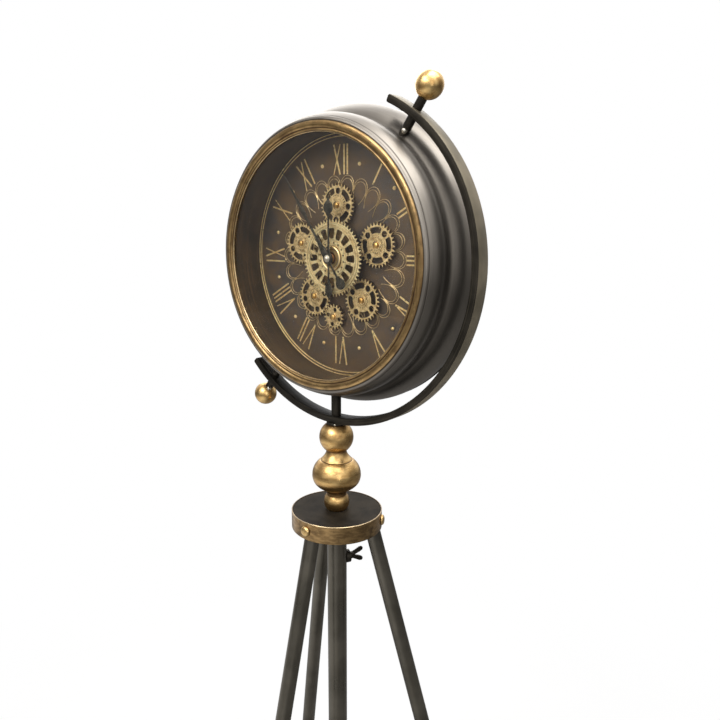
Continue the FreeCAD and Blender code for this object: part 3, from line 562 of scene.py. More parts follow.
finial_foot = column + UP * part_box("finial_turnings")[0].z
finial_brass = rubbed_brass("Waxed finial brass", finial_foot, True, (240, 200, 132), (206, 164, 102),
                            (118, 88, 52), 2.0, 190.0, 0.75)
pole_bore, finial_height = 12.55, 147.7
bulb = [(16.8, 26, 0.9), (16.6, 29.5, 0.9), (18, 33, 0.8), (25, 37, 0.35), (31.9, 41.6, 0.15), (37.6, 48.4),
        (40.2, 56.5), (40.3, 62.5), (39.4, 68.5), (36.4, 76), (31.2, 82.6), (27.4, 85.6, 0.15)]
# The slight negative share on the shoulder paints a faint highlight ring there.
shoulder = [(26.2, 86, 0.9), (25.4, 86.5, 0.9), (25.6, 87.2, 0.2), (23.6, 89.4, -0.1), (21.2, 92.2),
            (19, 95.4, 0.1), (17.6, 98.4, 0.3), (17, 100.4, 0.6)]
neck = [(16.7, 100.9, 0.9), (16.4, 102, 0.9)]
finial_outline = ([(pole_bore, 0, 1)] + ball_side(21.3, 13.0, 0.0, 26.0) + flowing(bulb) + flowing(shoulder)
                  + flowing(neck) + [(17, 103.2, 0.8)] + ball_side(28.2, 125.4, 103.2, finial_height)
                  + [(pole_bore, finial_height, 1)])
settle(turned("Finial_waxed_turnings", finial_outline, finial_foot, UP, finial_brass, smooth=55.0),
       "pole", "antique_brass", "finial_turnings")

washer_low, washer_high = (column + UP * corner.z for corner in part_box("finial_washer"))
washer_height = (washer_high.z - washer_low.z) / MM
washer_outline = [(5.1, 0), (15.2, 0), (15.9, 0.7), (15.9, washer_height - 0.6), (15.3, washer_height),
                  (5.1, washer_height)]
settle(turned("Finial_black_washer", washer_outline, washer_low, UP, black_coat, 72),
       "pole", "black_steel", "finial_washer")


# Arm: a flat steel bar, bent round the case from the top right to the lower left, its corners eased.
# Two black rods pass through it to the case, and a short post stands on its lowest point.
bezel_low, bezel_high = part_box("bezel")
dial_centre = Vector((train_axis[0], bezel_low.y, (bezel_low.z + bezel_high.z) / 2.0))
dial_axis = (0.0, 1.0, 0.0)


def at(x, depth, z):
    """A place on the head: right of and above the dial's centre, and behind the bezel's crest, in mm."""
    return dial_centre + Vector((x, depth, z)) * MM


def built(name, data, upright=None):
    """A bmesh of what a curve comes to, or an object that is then removed, moved to its place."""
    holder = data if isinstance(data, bpy.types.Object) else linked(name, data)
    mesh = plain_mesh(holder)
    bpy.data.objects.remove(holder)
    build = bmesh.new()
    build.from_mesh(mesh)
    if upright:
        build.transform(Matrix.Translation(upright) @ Matrix.Rotation(math.pi / 2.0, 4, "X"))
    return build


def drawn_line(curve, points, closed):
    spline = curve.splines.new("POLY")
    spline.points.add(len(points) - 1)
    for corner, point in zip(spline.points, points):
        corner.co = (*point, 1.0)
    spline.use_cyclic_u = closed


def cut_plate(name, loops, front, back, edge, paint, drop=0.0):
    """A flat piece between two depths, sawn to closed loops of (x, z), holes among them, with eased edges."""
    outline = bpy.data.curves.new(name, "CURVE")
    outline.dimensions, outline.fill_mode = "2D", "BOTH"
    outline.extrude = (back - front) / 2.0 * MM - edge * MM
    outline.bevel_depth, outline.offset, outline.bevel_resolution = edge * MM, -edge * MM, 1
    for loop in loops:
        drawn_line(outline, [(x * MM, z * MM, 0.0) for x, z in loop], True)
    return joined_mesh(name, built(name, outline, at(0.0, (front + back) / 2.0, -drop)), paint)


def merged(name, pieces):
    """Several made pieces as one object."""
    build = bmesh.new()
    paint = pieces[0].data.materials[0]
    for piece in pieces:
        build.from_mesh(piece.data)
        bpy.data.objects.remove(piece)
    return joined_mesh(name, build, paint)


def clockwise(radius, angle):
    """(x, z) at so many degrees clockwise from the top, as on the dial."""
    return radius * math.sin(math.radians(angle)), radius * math.cos(math.radians(angle))


arm_drop, arm_depth, arm_inner, arm_outer, arm_width = 6.0, 54.0, 248.0, 259.2, 24.6
arm_start, arm_end, tip_round = 25.0, 225.5, 3.0
arm_centre = at(0.0, arm_depth, -arm_drop)
arm_loop = []
for radius, inward, first, last in ((arm_outer, -1.0, arm_start, arm_end),
                                    (arm_inner, 1.0, arm_end, arm_start)):
    ease = math.copysign(math.degrees(tip_round / radius), last - first)
    tip = [(radius + inward * tip_round * (1.0 - math.cos(turn)), ease * (1.0 - math.sin(turn)))
           for turn in (math.pi / 2.0 * k / 5.0 for k in range(6))]
    arm_loop += [clockwise(near, first + beside) for near, beside in reversed(tip)]
    sweep = last - first - 2.0 * ease
    arm_loop += [clockwise(radius, first + ease + sweep * k / 180.0) for k in range(1, 180)]
    arm_loop += [clockwise(near, last - beside) for near, beside in tip]

bar = finished("Arm bronze coat", 0.60, {"Specular IOR Level": 0.1})
drag = lathe_marks(bar, arm_centre, False, 3.0, 800.0, 2.0)
cloud = grain(bar, 16.0)
# Painted light: the outer edge face is painted pale, as if lit, and the inner face that looks at the drum near
# black and less metallic, as painted shade.
facing = bar.parts(bar.node("ShaderNodeTexCoord", output="Normal"))
out_x, out_z = round_axis(bar, arm_centre, False)[2:]
outwards = facing * out_x + facing.other("Z") * out_z
painted_lit_outer, painted_shade_inner = outwards.between(0.25, 0.75), (0 - outwards).between(0.25, 0.75)
shade = cloud.between(0.35, 0.68)
tone = bar.mix(painted_shade_inner, bar.mix(shade, (42, 39, 34), (58, 54, 47)), (20, 18, 15))
tone = bar.mix(painted_lit_outer, tone, bar.mix(shade, (118, 110, 94), (144, 134, 115)))
tone = bar.mix(drag.between(0.50, 0.80) * 0.15, tone, (150, 138, 116))
bar.feed(bar.shader.inputs["Metallic"], 0.60 - painted_shade_inner * 0.60)
bar_coat = surface(bar, tone, cloud.between(0.3, 0.7, 0.42, 0.54), drag, 0.00005)
arm_front, arm_back = arm_depth - arm_width / 2.0, arm_depth + arm_width / 2.0
settle(cut_plate("Arm_bent_bar", [arm_loop], arm_front, arm_back, 0.9, bar_coat, arm_drop),
       "head", "black_steel", "arm")

rod_angles, rod_radius, rod_start = (35.1, 215.1), 6.8, 216.0
knob_reach, knob_radius, knob_depth = 293.5, 19.5, 12.0
rod_end = knob_reach - knob_depth
rod_outline = [(0, rod_start), (rod_radius, rod_start), (rod_radius, arm_inner - 6.2),
               (rod_radius - 0.35, arm_inner - 5.8, 0.5), (rod_radius, arm_inner - 5.4),
               (rod_radius, rod_end), (0, rod_end)]
build = bmesh.new()
for angle in rod_angles:
    x, z = clockwise(1.0, angle)
    turn_outline(build, rod_outline, arm_centre, (x, 0.0, z), 48, False)
settle(joined_mesh("Pivot_black_rods", build, black_coat), "head", "black_steel", "pivot_rods")

# Set screws: three small nickel-plated ones with domed heads. Two lock the rods, and the third sits in
# the washer under the arm and locks the head on the pole's stud.
plated = finished("Nickel plate", 1.0)
cloud = grain(plated, 260.0)
tone = plated.mix(cloud.between(0.35, 0.65), (226, 220, 206), (198, 190, 174))
nickel = surface(plated, tone, cloud.between(0.3, 0.7, 0.16, 0.26), cloud, 0.00003)


def set_screw(label, body, seat, facing, size):
    dome = [(0, -1.5), (3.9, -1.5), (3.9, 1.4), (3.5, 2.4), (2.6, 3.3), (1.3, 3.9), (0, 4)]
    dome = [(size * radius, size * height) for radius, height in dome]
    settle(turned("Set_screw_" + label, dome, seat, facing, nickel, 28, 40.0, False), body, "black_steel")


for label, angle, along_rod, swing in (("upper", rod_angles[0], 227.0, -25.0),
                                       ("lower", rod_angles[1], 276.0, 45.0)):
    x, z = clockwise(1.0, angle)
    aside, ahead = clockwise(1.0, swing)
    facing = Vector((-z * aside, -ahead, x * aside))
    seat = at(x * along_rod, arm_depth, z * along_rod - arm_drop) + facing * rod_radius * MM
    set_screw(label, "head", seat, facing, 1.0)
facing = Vector((math.cos(math.radians(-57.0)), math.sin(math.radians(-57.0)), 0.0))
set_screw("washer", "pole", (washer_low + washer_high) / 2.0 + facing * 15.7 * MM, facing, 0.48)

# Knobs: two solid brass balls screwed on the rods' ends, waxed dark near the rod and rubbed bright
# all over. Each is bored to fit its rod, and the wax stays in the bore and round it.
knob_bore, knob_seat = rod_radius + 0.05, 9.0 - knob_radius
bore_height = math.sqrt(knob_radius ** 2 - knob_bore ** 2)
knob_outline = [(0, knob_seat, 1), (knob_bore, knob_seat, 1)]
for radius, height, _ in ball_side(knob_radius, 0.0, -bore_height, knob_radius * 0.99999, 44):
    knob_outline.append((radius, height, 0.9 * max(0.0, 1.0 - (height + knob_radius) / 3.2)))
knob_outline.append((0, knob_radius))
for label, angle in zip(("upper", "lower"), rod_angles):
    x, z = clockwise(1.0, angle)
    middle = at(x * knob_reach, arm_depth, z * knob_reach - arm_drop)
    knob_brass = rubbed_brass("Waxed knob brass " + label, middle, True, (242, 204, 136), (214, 170, 106),
                              (128, 96, 56), 2.6, 120.0, 0.6)
    knob = turned("Knob_ball_" + label, knob_outline, middle, (x, 0.0, z), knob_brass, 96, ring=False)
    settle(knob, "head", "antique_brass", "knob_balls")


# Case: a drum spun from aluminium, anodised a brownish gunmetal and brushed round and round.
# From the front it has a lip, a fine groove, a wide swelling band, a valley and a second, fuller band.
def on_dial(name, outline, paint, place=(0.0, 0.0), steps=64, smooth=32.0, ring=True):
    """A piece turned from (radius, depth) about the dial's axis, or about an axis beside it."""
    return turned(name, outline, at(place[0], 0.0, place[1]), dial_axis, paint, steps, smooth, ring)


spun = finished("Brushed gunmetal", 1.0)
brush = lathe_marks(spun, dial_centre, False, 2.0, 1500.0, 2.0)
cloud = lathe_marks(spun, dial_centre, False, 1.6, 22.0)
deep = spun.node("ShaderNodeAttribute", {"attribute_name": "patina_and_painted_light"}, output="Fac")
tone = spun.mix(cloud.between(0.30, 0.70), (124, 118, 110), (146, 139, 130))
tone = spun.mix(brush.between(0.35, 0.75) * 0.25, tone, (160, 154, 146))
# Painted shade: the share darkens the lip by the bezel, the fine groove, the valley, the rear edge and the
# inside.
tone = spun.mix(deep, tone, (58, 52, 45))
gunmetal = surface(spun, tone, (cloud + deep * 0.4).between(0.3, 1.0, 0.36, 0.50), brush, 0.00003)
# The third value of a point is its share of painted shade.
drum_lip = [(200.2, 2.3, 0.6), (200.8, 1.9, 0.15), (202.4, 2.1), (204.6, 3.6), (206, 5.8, 0.1)]
drum_groove = [(206.2, 6.6, 0.5), (206.1, 7, 0.7), (206.6, 7.4, 0.4)]
drum_bands = [(207.2, 8.4), (209.4, 12.5), (211.9, 18.5), (213.5, 25), (213.9, 31), (213.2, 36.5, 0.1),
              (212.1, 41, 0.3), (212, 44.5, 0.45), (213.6, 48, 0.45), (217.2, 52, 0.3), (221.6, 57.4, 0.1),
              (226, 64.4), (229.8, 72.6), (232.2, 81), (233, 88.5), (232.8, 95), (232, 99.8),
              (230.8, 102.8, 0.2), (229.6, 104, 0.5)]
drum_inside = [(228, 104), (228, 74.5), (220, 64), (206, 45), (206, 22), (200.1, 7), (192.2, 6.9), (192.2, 3),
               (200.1, 2.9)]
drum_outline = flowing(drum_lip, 4) + flowing(drum_groove, 3) + flowing(drum_bands, 6)
drum_outline += [(radius, depth, 0.6) for radius, depth in drum_inside]
drum = on_dial("Drum_spun_shell", drum_outline, gunmetal, steps=256, smooth=40.0)
settle(drum, "head", "gunmetal", "case_drum")

# Bezel: cast brass, aged brown and rubbed gold on its crests, with a wide outer roll, a groove,
# a small inner bead and a thin lip against the glass that carries a painted highlight. It is pressed into the
# drum's front.
bezel_brass = rubbed_brass("Aged bezel brass", dial_centre, False, (206, 170, 114), (160, 128, 84),
                           (76, 58, 38), 9.0, 210.0, 0.75)
bezel_roll = [(200, 2, 0.7), (199.2, 1.1, 0.3), (197.6, 0.35, 0.05), (195.4, 0), (193.2, 0.05),
              (191.4, 0.7, 0.1), (190.2, 1.6, 0.5)]
bezel_groove = [(189.6, 2.2, 0.95), (189, 2.1, 0.9), (188.4, 1.5, 0.5)]
bezel_bead = [(187.9, 1.1, 0.15), (187.2, 1), (186.4, 1.4, 0.1), (185.8, 2.3, 0.6), (185.4, 3.2, 0.9)]
# The negative shares on the lip paint a bright highlight against the glass.
bezel_lip = [(184.9, 3.6, 0.1), (184.5, 3.8, -0.5), (184.2, 4.3, -0.5), (184, 5.4, 0.4)]
bezel_outline = flowing(bezel_roll, 5)
for line in (bezel_groove, bezel_bead, bezel_lip):
    bezel_outline += flowing(line, 4)
bezel_outline += [(190.9, 5.4, 1), (190.9, 3, 1), (199.9, 2.9, 1)]
bezel = on_dial("Bezel_aged_ring", bezel_outline, bezel_brass, steps=256, smooth=50.0)
settle(bezel, "head", "aged_bezel", "bezel")

# Inner wall: a rolled strip behind the glass, stained dark brown, that hides the drum's inside.
# The dial is a bronze plate, heated and waxed till it is cloudy brown and plum.
stained = finished("Stained inner wall", 0.30)
cloud, drag = grain(stained, 18.0, 4.0), lathe_marks(stained, dial_centre, False, 1.5, 260.0)
tone = stained.mix(cloud.between(0.3, 0.7), (58, 45, 29), (88, 69, 45))
tone = stained.mix(drag.between(0.5, 0.8) * 0.5, tone, (120, 94, 58))
wall_stain = surface(stained, tone, cloud.between(0.3, 0.7, 0.42, 0.56), drag, 0.00003)
wall_outline = [(190, 8.6), (191.4, 8.6), (191.4, 68.2), (190, 68.2)]
settle(on_dial("Inner_wall_strip", wall_outline, wall_stain, steps=256), "head", "case_brown", "inner_liner")

waxed = finished("Clouded dial bronze", 0.60)
large, small = grain(waxed, 9.0, 5.0, roughness=0.6), grain(waxed, 38.0, 5.0, roughness=0.65)
pits = grain(waxed, 520.0)
tone = waxed.mix(large.between(0.36, 0.64), (97, 79, 58), (84, 76, 68))
tone = waxed.mix(small.between(0.40, 0.70) * 0.65, tone, (120, 93, 61))
tone = waxed.mix(pits.between(0.58, 0.76) * 0.35, tone, (48, 38, 32))
dress(surface(waxed, tone, small.between(0.3, 0.7, 0.40, 0.58), pits * 0.5 + small * 0.5, 0.00015), "dial_plate")


# Dial furniture: gilt wire and strip, laid on the plate. Numerals stand with their heads outwards,
# inside a double ring, with a stud at each half hour and a rosette of double petals round the train.
def gilt(name, bright, dull, metallic=1.0):
    wiring = finished(name, metallic)
    flake = grain(wiring, 130.0, 4.0, roughness=0.6)
    tone = wiring.mix(flake.between(0.36, 0.66), bright, dull)
    return surface(wiring, tone, flake.between(0.3, 0.7, 0.26, 0.42), grain(wiring, 900.0, 2.0), 0.00004)


gilt_strip = gilt("Gilt dial strip", (248, 222, 156), (222, 186, 116), 0.7)
dial_face = 68.3


def strip(build, start, end, width, height, lift):
    """A flat strip between two places on the dial, with its upper edges eased."""
    start, end = Vector((start[0], 0.0, start[1])), Vector((end[0], 0.0, end[1]))
    along = (end - start).normalized()
    sideways = Vector((along.z, 0.0, -along.x))
    half, ease = width / 2.0, min(width, height) * 0.3
    rows = []
    for reach, tall, inset in ((half, -0.1, 0.0), (half, height - ease, 0.0), (half - ease, height, ease)):
        first, last = start + along * inset, end - along * inset
        ends = ((first, -1), (last, -1), (last, 1), (first, 1))
        corners = [place + sideways * reach * way for place, way in ends]
        rows.append([build.verts.new(at(corner.x, dial_face - tall - lift, corner.z)) for corner in corners])
    skinned(build, rows)


numeral_inner, numeral_outer, stroke, thin_share, letter_gap, wide_gap = 126.5, 171.5, 2.6, 0.62, 3.9, 5.4
letters = {"I": (stroke, (((0, 0), (0, 1)),)), "V": (17.5, (((-0.5, 1), (0, 0)), ((0.5, 1), (0, 0)))),
           "X": (15.5, (((-0.5, 1), (0.5, 0)), ((0.5, 1), (-0.5, 0))))}
build = bmesh.new()
for hour, numeral in enumerate("I II III IV V VI VII VIII IX X XI XII".split(), 1):
    gaps = [letter_gap if pair == ("I", "I") else wide_gap for pair in zip(numeral, numeral[1:])]
    cursor = -(sum(letters[letter][0] for letter in numeral) + sum(gaps)) / 2.0
    out_x, out_z = clockwise(1.0, 30.0 * hour)
    for letter, gap in zip(numeral, gaps + [0.0]):
        wide, strokes = letters[letter]
        for k, line in enumerate(strokes):
            ends = []
            for share_x, share_y in line:
                aside = cursor + wide / 2.0 + share_x * (wide - stroke)
                out = numeral_inner + share_y * (numeral_outer - numeral_inner)
                ends.append((out_x * out + out_z * aside, out_z * out - out_x * aside))
            strip(build, *ends, stroke * (thin_share if k else 1.0), 0.7, 0.05 * k)
        cursor += wide + gap
settle(joined_mesh("Dial_numerals", build, gilt_strip, 20.0), "head", "old_gold")

build = bmesh.new()
for radius in (183.5, 188.3):
    wire = [(radius + 0.75 * math.cos(a), dial_face - 0.15 + 0.6 * math.sin(a))
            for a in (math.tau * k / 10.0 for k in range(10))]
    turn_outline(build, wire, dial_centre, dial_axis, 240)
settle(joined_mesh("Dial_double_ring", build, gilt_strip, 70.0), "head", "old_gold")

stud_dome = [(0, -0.2), (3, -0.2), (3, 0.4), (2.7, 1.1), (2, 1.7), (1, 2), (0, 2.1)]
stud_outline = [(radius, dial_face - proud) for radius, proud in stud_dome]
studs = on_dial("Dial_half_hour_studs", stud_outline, gilt_strip, (0.0, 145.5), 20, 60.0, False)
settle(carried_round(studs, 12, 15.0, dial_centre, dial_axis), "head", "old_gold")

gilt_wire = gilt("Gilt rosette wire", (214, 186, 130), (172, 142, 92), 0.6)


def petal_wire(name, tip, spring, foot, half_width, foot_half):
    """One petal's open wire: a round arch whose two legs draw in as they run towards the dial's centre."""
    wire = bpy.data.curves.new(name, "CURVE")
    wire.dimensions, wire.bevel_depth, wire.bevel_resolution, wire.use_fill_caps = "3D", 0.45 * MM, 1, True
    arch = [(half_width * math.cos(turn), spring + (tip - spring) * math.sin(turn))
            for turn in (math.pi * k / 18.0 for k in range(19))]
    wider = half_width - foot_half
    leg = [(foot_half + wider * math.sin(math.pi / 2.0 * share), foot + (spring - foot) * share)
           for share in (k / 7.0 for k in range(7))]
    line = leg + arch + [(-x, z) for x, z in reversed(leg)]
    drawn_line(wire, [at(x, dial_face - 0.2, z) for x, z in line], False)
    return joined_mesh(name, built(name, wire), gilt_wire, 70.0)


petal_count = 26
petals = merged("Dial_rosette", [petal_wire("Petal_outer", 126.0, 112.0, 104.0, 12.9, 12.2),
                                 petal_wire("Petal_inner", 121.5, 108.0, 88.0, 11.6, 4.6)])
settle(carried_round(petals, petal_count, 180.0 / petal_count, dial_centre, dial_axis), "head", "old_gold")


# Gear train: brass wheels sawn from plate, gilt and antiqued, that mesh round a hidden driving wheel.
# Each of the five like wheels has four round windows, four slots and a small toothed star on its hub.
def antique_gilt(name, centre, bright=(250, 222, 162), dull=(214, 180, 120)):
    """Gilt brass with dark wax in the pits, and painted shade on the sawn sides and the back."""
    wiring = finished(name, 0.78)
    marks = lathe_marks(wiring, centre, False, 3.0, 420.0)
    blotch, pits = grain(wiring, 95.0, 5.0, roughness=0.65), grain(wiring, 1100.0, 2.0)
    facing = wiring.parts(wiring.node("ShaderNodeTexCoord", output="Normal"))
    unshaded_front = (0 - facing.other("Y")).between(0.35, 0.95)
    tone = wiring.mix(marks.between(0.34, 0.66), bright, dull)
    tone = wiring.mix(blotch.between(0.48, 0.70) * 0.75, tone, (128, 98, 58))
    tone = wiring.mix(pits.between(0.60, 0.80) * 0.40, tone, (92, 68, 38))
    # Painted shade: the sawn sides and the back, which do not face forward, take a dark brown.
    tone = wiring.mix(unshaded_front, (96, 70, 38), tone)
    return surface(wiring, tone, blotch.between(0.3, 0.7, 0.26, 0.44), pits * 0.5 + marks * 0.5, 0.00006)


def toothed_tree():
    """A plate wheel: pointed teeth round its rim, a bore, and windows along the loops that it is given."""
    wiring, given, sockets = shape_tree("Toothed wheel", {
        "Windows": "Geometry", "Teeth": "Int", "Module": "Float", "Turn": "Float", "Bore": "Float",
        "Thickness": "Float", "Finish": "Material"})
    teeth, tip_half, foot_half = given.other("Teeth"), 0.07, 0.30
    index = wiring.node("GeometryNodeInputIndex")
    tooth = index.maths("FLOOR", index / 4.0)
    from_middle = index - tooth * 4.0 - 1.5
    at_tip = index.maths("LESS_THAN", index.maths("ABSOLUTE", from_middle), 1.0)
    share = index.maths("SIGN", from_middle) * (at_tip * (tip_half - foot_half) + foot_half)
    radius = given.other("Module") * (teeth * 0.5 + at_tip * 2.25 - 1.25)
    angle = given.other("Turn") + (tooth + share) * math.tau / teeth
    x, y = radius * index.maths("COSINE", angle), radius * index.maths("SINE", angle)
    place = wiring.node("ShaderNodeCombineXYZ", values=(x, y))
    circle = wiring.node("GeometryNodeCurvePrimitiveCircle", {}, {"Resolution": teeth * 4.0})
    rim = wiring.node("GeometryNodeSetPosition", {}, {"Geometry": circle, "Position": place})
    bore = wiring.node("GeometryNodeCurvePrimitiveCircle", {}, {"Resolution": 36, "Radius": given.other("Bore")})
    outline = wiring.node("GeometryNodeJoinGeometry", {}, (rim,))
    for loop in (bore, wiring.node("GeometryNodeMeshToCurve", {}, {"Mesh": given})):
        wiring.feed(outline.socket.node.inputs[0], loop)
    face = wiring.node("GeometryNodeFillCurve", {"mode": "NGONS"}, {"Curve": outline})
    raised = wiring.node("GeometryNodeExtrudeMesh", {}, {
        "Mesh": face, "Offset Scale": given.other("Thickness"), "Individual": False})
    plate = wiring.node("GeometryNodeJoinGeometry", {}, (raised,))
    wiring.feed(plate.socket.node.inputs[0], wiring.node("GeometryNodeFlipFaces", {}, {"Mesh": face}))
    closed = wiring.node("GeometryNodeMergeByDistance", {}, {"Geometry": plate, "Distance": 0.000001})
    return hand_over(wiring, given, closed), sockets


toothed_wheel, toothed_sockets = toothed_tree()


def toothed_plate(name, teeth, module, turn, bore, windows, front, back, paint, place=(0.0, 0.0), edge=0.22):
    """A wheel between two depths, with windows sawn to loops of (x, z), in mm and degrees."""
    corners, sides = [], []
    for loop in windows:
        first = len(corners)
        corners += [(x * MM, z * MM, 0.0) for x, z in loop]
        sides += [(first + k, first + (k + 1) % len(loop)) for k in range(len(loop))]
    mesh = bpy.data.meshes.new(name)
    mesh.from_pydata(corners, sides, [])
    blank = linked(name, mesh)
    shaped_by(blank, toothed_wheel, toothed_sockets, {
        "Teeth": teeth, "Module": module * MM, "Turn": math.radians(turn), "Bore": bore * MM,
        "Thickness": (back - front) * MM, "Finish": paint})
    file = blank.modifiers.new("Eased edges", "BEVEL")
    file.width, file.segments, file.limit_method, file.angle_limit = edge * MM, 1, "ANGLE", math.radians(40.0)
    file.use_clamp_overlap = False
    return joined_mesh(name, built(name, blank, at(place[0], back, place[1])), paint)


def round_loop(radius, reach=0.0, angle=0.0, steps=28):
    x, z = off_centre(reach, angle)
    return [(x + radius * math.cos(turn), z + radius * math.sin(turn))
            for turn in (math.tau * k / steps for k in range(steps))]


def slot_loop(inner, outer, angle, half, steps=10):
    """A curved slot with eased corners, or a window between spokes."""
    ease = min((outer - inner) * 0.25, 1.6)
    loop = []
    for radius, way, corners in ((outer, 1.0, (outer - ease, inner + ease)),
                                 (inner, -1.0, (inner + ease, outer - ease))):
        reach = half - math.degrees(ease / radius)
        loop += [off_centre(radius, angle + way * reach * (2.0 * k / steps - 1.0)) for k in range(steps + 1)]
        loop += [off_centre(corner, angle + way * half) for corner in corners]
    return loop


def meshing_phase(angle, driver_teeth, driver_phase, teeth):
    """The turn at which a wheel's teeth stand in the gaps of its driver, which is back along an angle."""
    return angle + 180.0 - (0.5 - (angle - driver_phase) * driver_teeth / 360.0) * 360.0 / teeth


def off_centre(distance, angle):
    return distance * math.cos(math.radians(angle)), distance * math.sin(math.radians(angle))


def hub_ring(outer, proud, paint, place):
    """A turned ring on a wheel's face, bored wider than the pin, so a dark gap shows round it."""
    crest, seat = train_front - proud, train_front + 0.3
    outline = [(hub_bore, seat), (hub_bore, crest), (outer - 0.5, crest), (outer, crest + 0.4), (outer, seat)]
    return on_dial("Hub_ring", outline, paint, place, 40)


train_module, train_front, train_back, backlash = 2.0, 59.5, 63.5, 0.3
driving_teeth, satellite_teeth, bottom_teeth, front_teeth = 48, 32, 19, 58
arbor_radius = 4.25
wheel_bore, hub_bore = arbor_radius + 0.05, arbor_radius + 2.2
satellites = {"wheel_top": (90.0, -6.0), "wheel_right": (15.1, 49.6), "wheel_left": (164.9, 24.0),
              "wheel_lower_right": (-51.8, 57.9), "wheel_lower_left": (-128.0, 15.2)}
wheel_places = {}
for node, (angle, window_turn) in satellites.items():
    place = off_centre(train_module * (driving_teeth + satellite_teeth) / 2.0 + backlash, angle)
    wheel_places[node] = place
    gilding = antique_gilt("Antique gilt " + node, at(place[0], 0.0, place[1]))
    turn = meshing_phase(angle, driving_teeth, 0.0, satellite_teeth)
    windows = []
    for quarter in (window_turn + 90.0 * k for k in range(4)):
        windows += [round_loop(4.7, 22.0, quarter, 24), slot_loop(18.3, 27.0, quarter + 45.0, 25.0)]
    star_teeth, star_reach, ring_reach = (26, 16.5, 9.6) if node == "wheel_top" else (20, 12.4, 8.0)
    star_module = star_reach / (star_teeth / 2.0 + 1.0)
    parts = [toothed_plate("Plate", satellite_teeth, train_module, turn, wheel_bore, windows, train_front,
                           train_back, gilding, place),
             toothed_plate("Star", star_teeth, star_module, 7.0, hub_bore, [], train_front - 1.0,
                           train_front + 0.3, gilding, place, 0.14),
             hub_ring(ring_reach, 1.8, gilding, place)]
    settle(merged("Gilt_" + node, parts), node.replace("wheel_", "") + "_wheel", "old_gold", node)

driven, bottom_angle = wheel_places["wheel_lower_left"], -37.0
step = off_centre(train_module * (satellite_teeth + bottom_teeth) / 2.0 + backlash, bottom_angle)
bottom_place = (driven[0] + step[0], driven[1] + step[1])
gilding = antique_gilt("Antique gilt small wheel", at(bottom_place[0], 0.0, bottom_place[1]))
driven_turn = meshing_phase(satellites["wheel_lower_left"][0], driving_teeth, 0.0, satellite_teeth)
turn = meshing_phase(bottom_angle, satellite_teeth, driven_turn, bottom_teeth)
windows = [round_loop(3.4, 12.0, 90.0 * k - 14.0, 20) for k in range(4)]
parts = [toothed_plate("Plate", bottom_teeth, train_module, turn, wheel_bore, windows, train_front,
                       train_back, gilding, bottom_place), hub_ring(7.4, 1.5, gilding, bottom_place)]
settle(merged("Gilt_wheel_bottom", parts), "bottom_wheel", "old_gold", "wheel_bottom")

# Arbors: brass pins riveted in the dial, domed in front, that four wheels and the small one turn on.
# The lower left wheel is driven, so its pin is the motor's shaft and turns with it.
arbor_brass = gilt("Polished arbor brass", (238, 196, 118), (206, 156, 82))
shaft_back = 75.8


def pin(name, place, back):
    outline = [(0, back), (arbor_radius, back), (arbor_radius, 57.4), (3.8, 56.5), (2.9, 56.1), (2.6, 55.9),
               (1.5, 55.7), (0, 55.65)]
    return on_dial(name, outline, arbor_brass, place, 32, 50.0, False)


fixed_places = [place for place in wheel_places.values() if place != driven] + [bottom_place]
pins = merged("Arbor_pins", [pin("Pin", place, dial_face) for place in fixed_places])
settle(pins, "head", "old_gold", "gear_arbors")
settle(pin("Drive_shaft_pin", driven, shaft_back), "lower_left_wheel", "old_gold", "drive_shaft")

# Centre wheel: the largest, with sixteen spokes, a double-ridged rim, a ring of small holes and a bright
# dished hub, set forward on a fixed sleeve. The driving wheel sits behind it, and meshes with the five.
centre_gilding = antique_gilt("Antique gilt centre wheel", dial_centre, (255, 236, 178), (236, 204, 142))
centre_front, centre_back, sleeve_bore, spokes = 46.0, 48.4, 6.55, 16
windows = [slot_loop(30.2, 45.8, 360.0 / spokes * k, 7.6, 4) for k in range(spokes)]
windows += [round_loop(1.5, 24.2, 360.0 / spokes * (k + 0.5), 12) for k in range(spokes)]
spacer = [(sleeve_bore, 48), (11, 48), (11, 50.6), (sleeve_bore, 50.6)]
parts = [toothed_plate("Plate", front_teeth, train_module, 0.0, sleeve_bore, windows, centre_front,
                       centre_back, centre_gilding), on_dial("Spacer", spacer, centre_gilding, steps=48)]
for inner, outer, proud in ((50.4, 53.6, 0.9), (46.4, 48.6, 1.0), (27.4, 29.4, 0.7)):
    ease, seat, crest = 0.4, centre_front + 0.2, centre_front - proud
    ridge = [(inner, seat), (inner, crest + ease), (inner + ease, crest), (outer - ease, crest),
             (outer, crest + ease), (outer, seat)]
    parts.append(on_dial("Ridge", ridge, centre_gilding, steps=112))
settle(merged("Gilt_centre_wheel", parts), "centre_wheels", "old_gold", "centre_wheel")

dish_brass = rubbed_brass("Polished centre dish", dial_centre, False, (246, 214, 148), (222, 182, 112),
                          (104, 76, 42), 2.0, 300.0, 0.2)
# The negative shares in the dish's ring paint a pale highlight there.
dish = [(sleeve_bore, 46.2, 1), (sleeve_bore, 45.2, 1), (8.8, 45.2, 1), (9.6, 44.8, 0.6), (12, 44.9, 0.2),
        (14.6, 44.9, 0.6), (15.2, 44.3, 0.4), (16.2, 43.2, -0.2), (17.6, 42.8, -0.4), (19, 43.2),
        (20, 44.4, 0.7), (20.3, 45.4, 1), (20.3, 46.2, 1)]
dish = on_dial("Centre_dish", flowing(dish, 4), dish_brass, steps=112, smooth=50.0)
settle(dish, "centre_wheels", "old_gold")
# The driving wheel sits in shade behind the centre wheel; its darker gilt colours are painted shade.
dress(antique_gilt("Painted_shade driving wheel", dial_centre, (150, 120, 76), (112, 88, 54)), "driving_wheel")
dress(arbor_brass, "centre_sleeve")

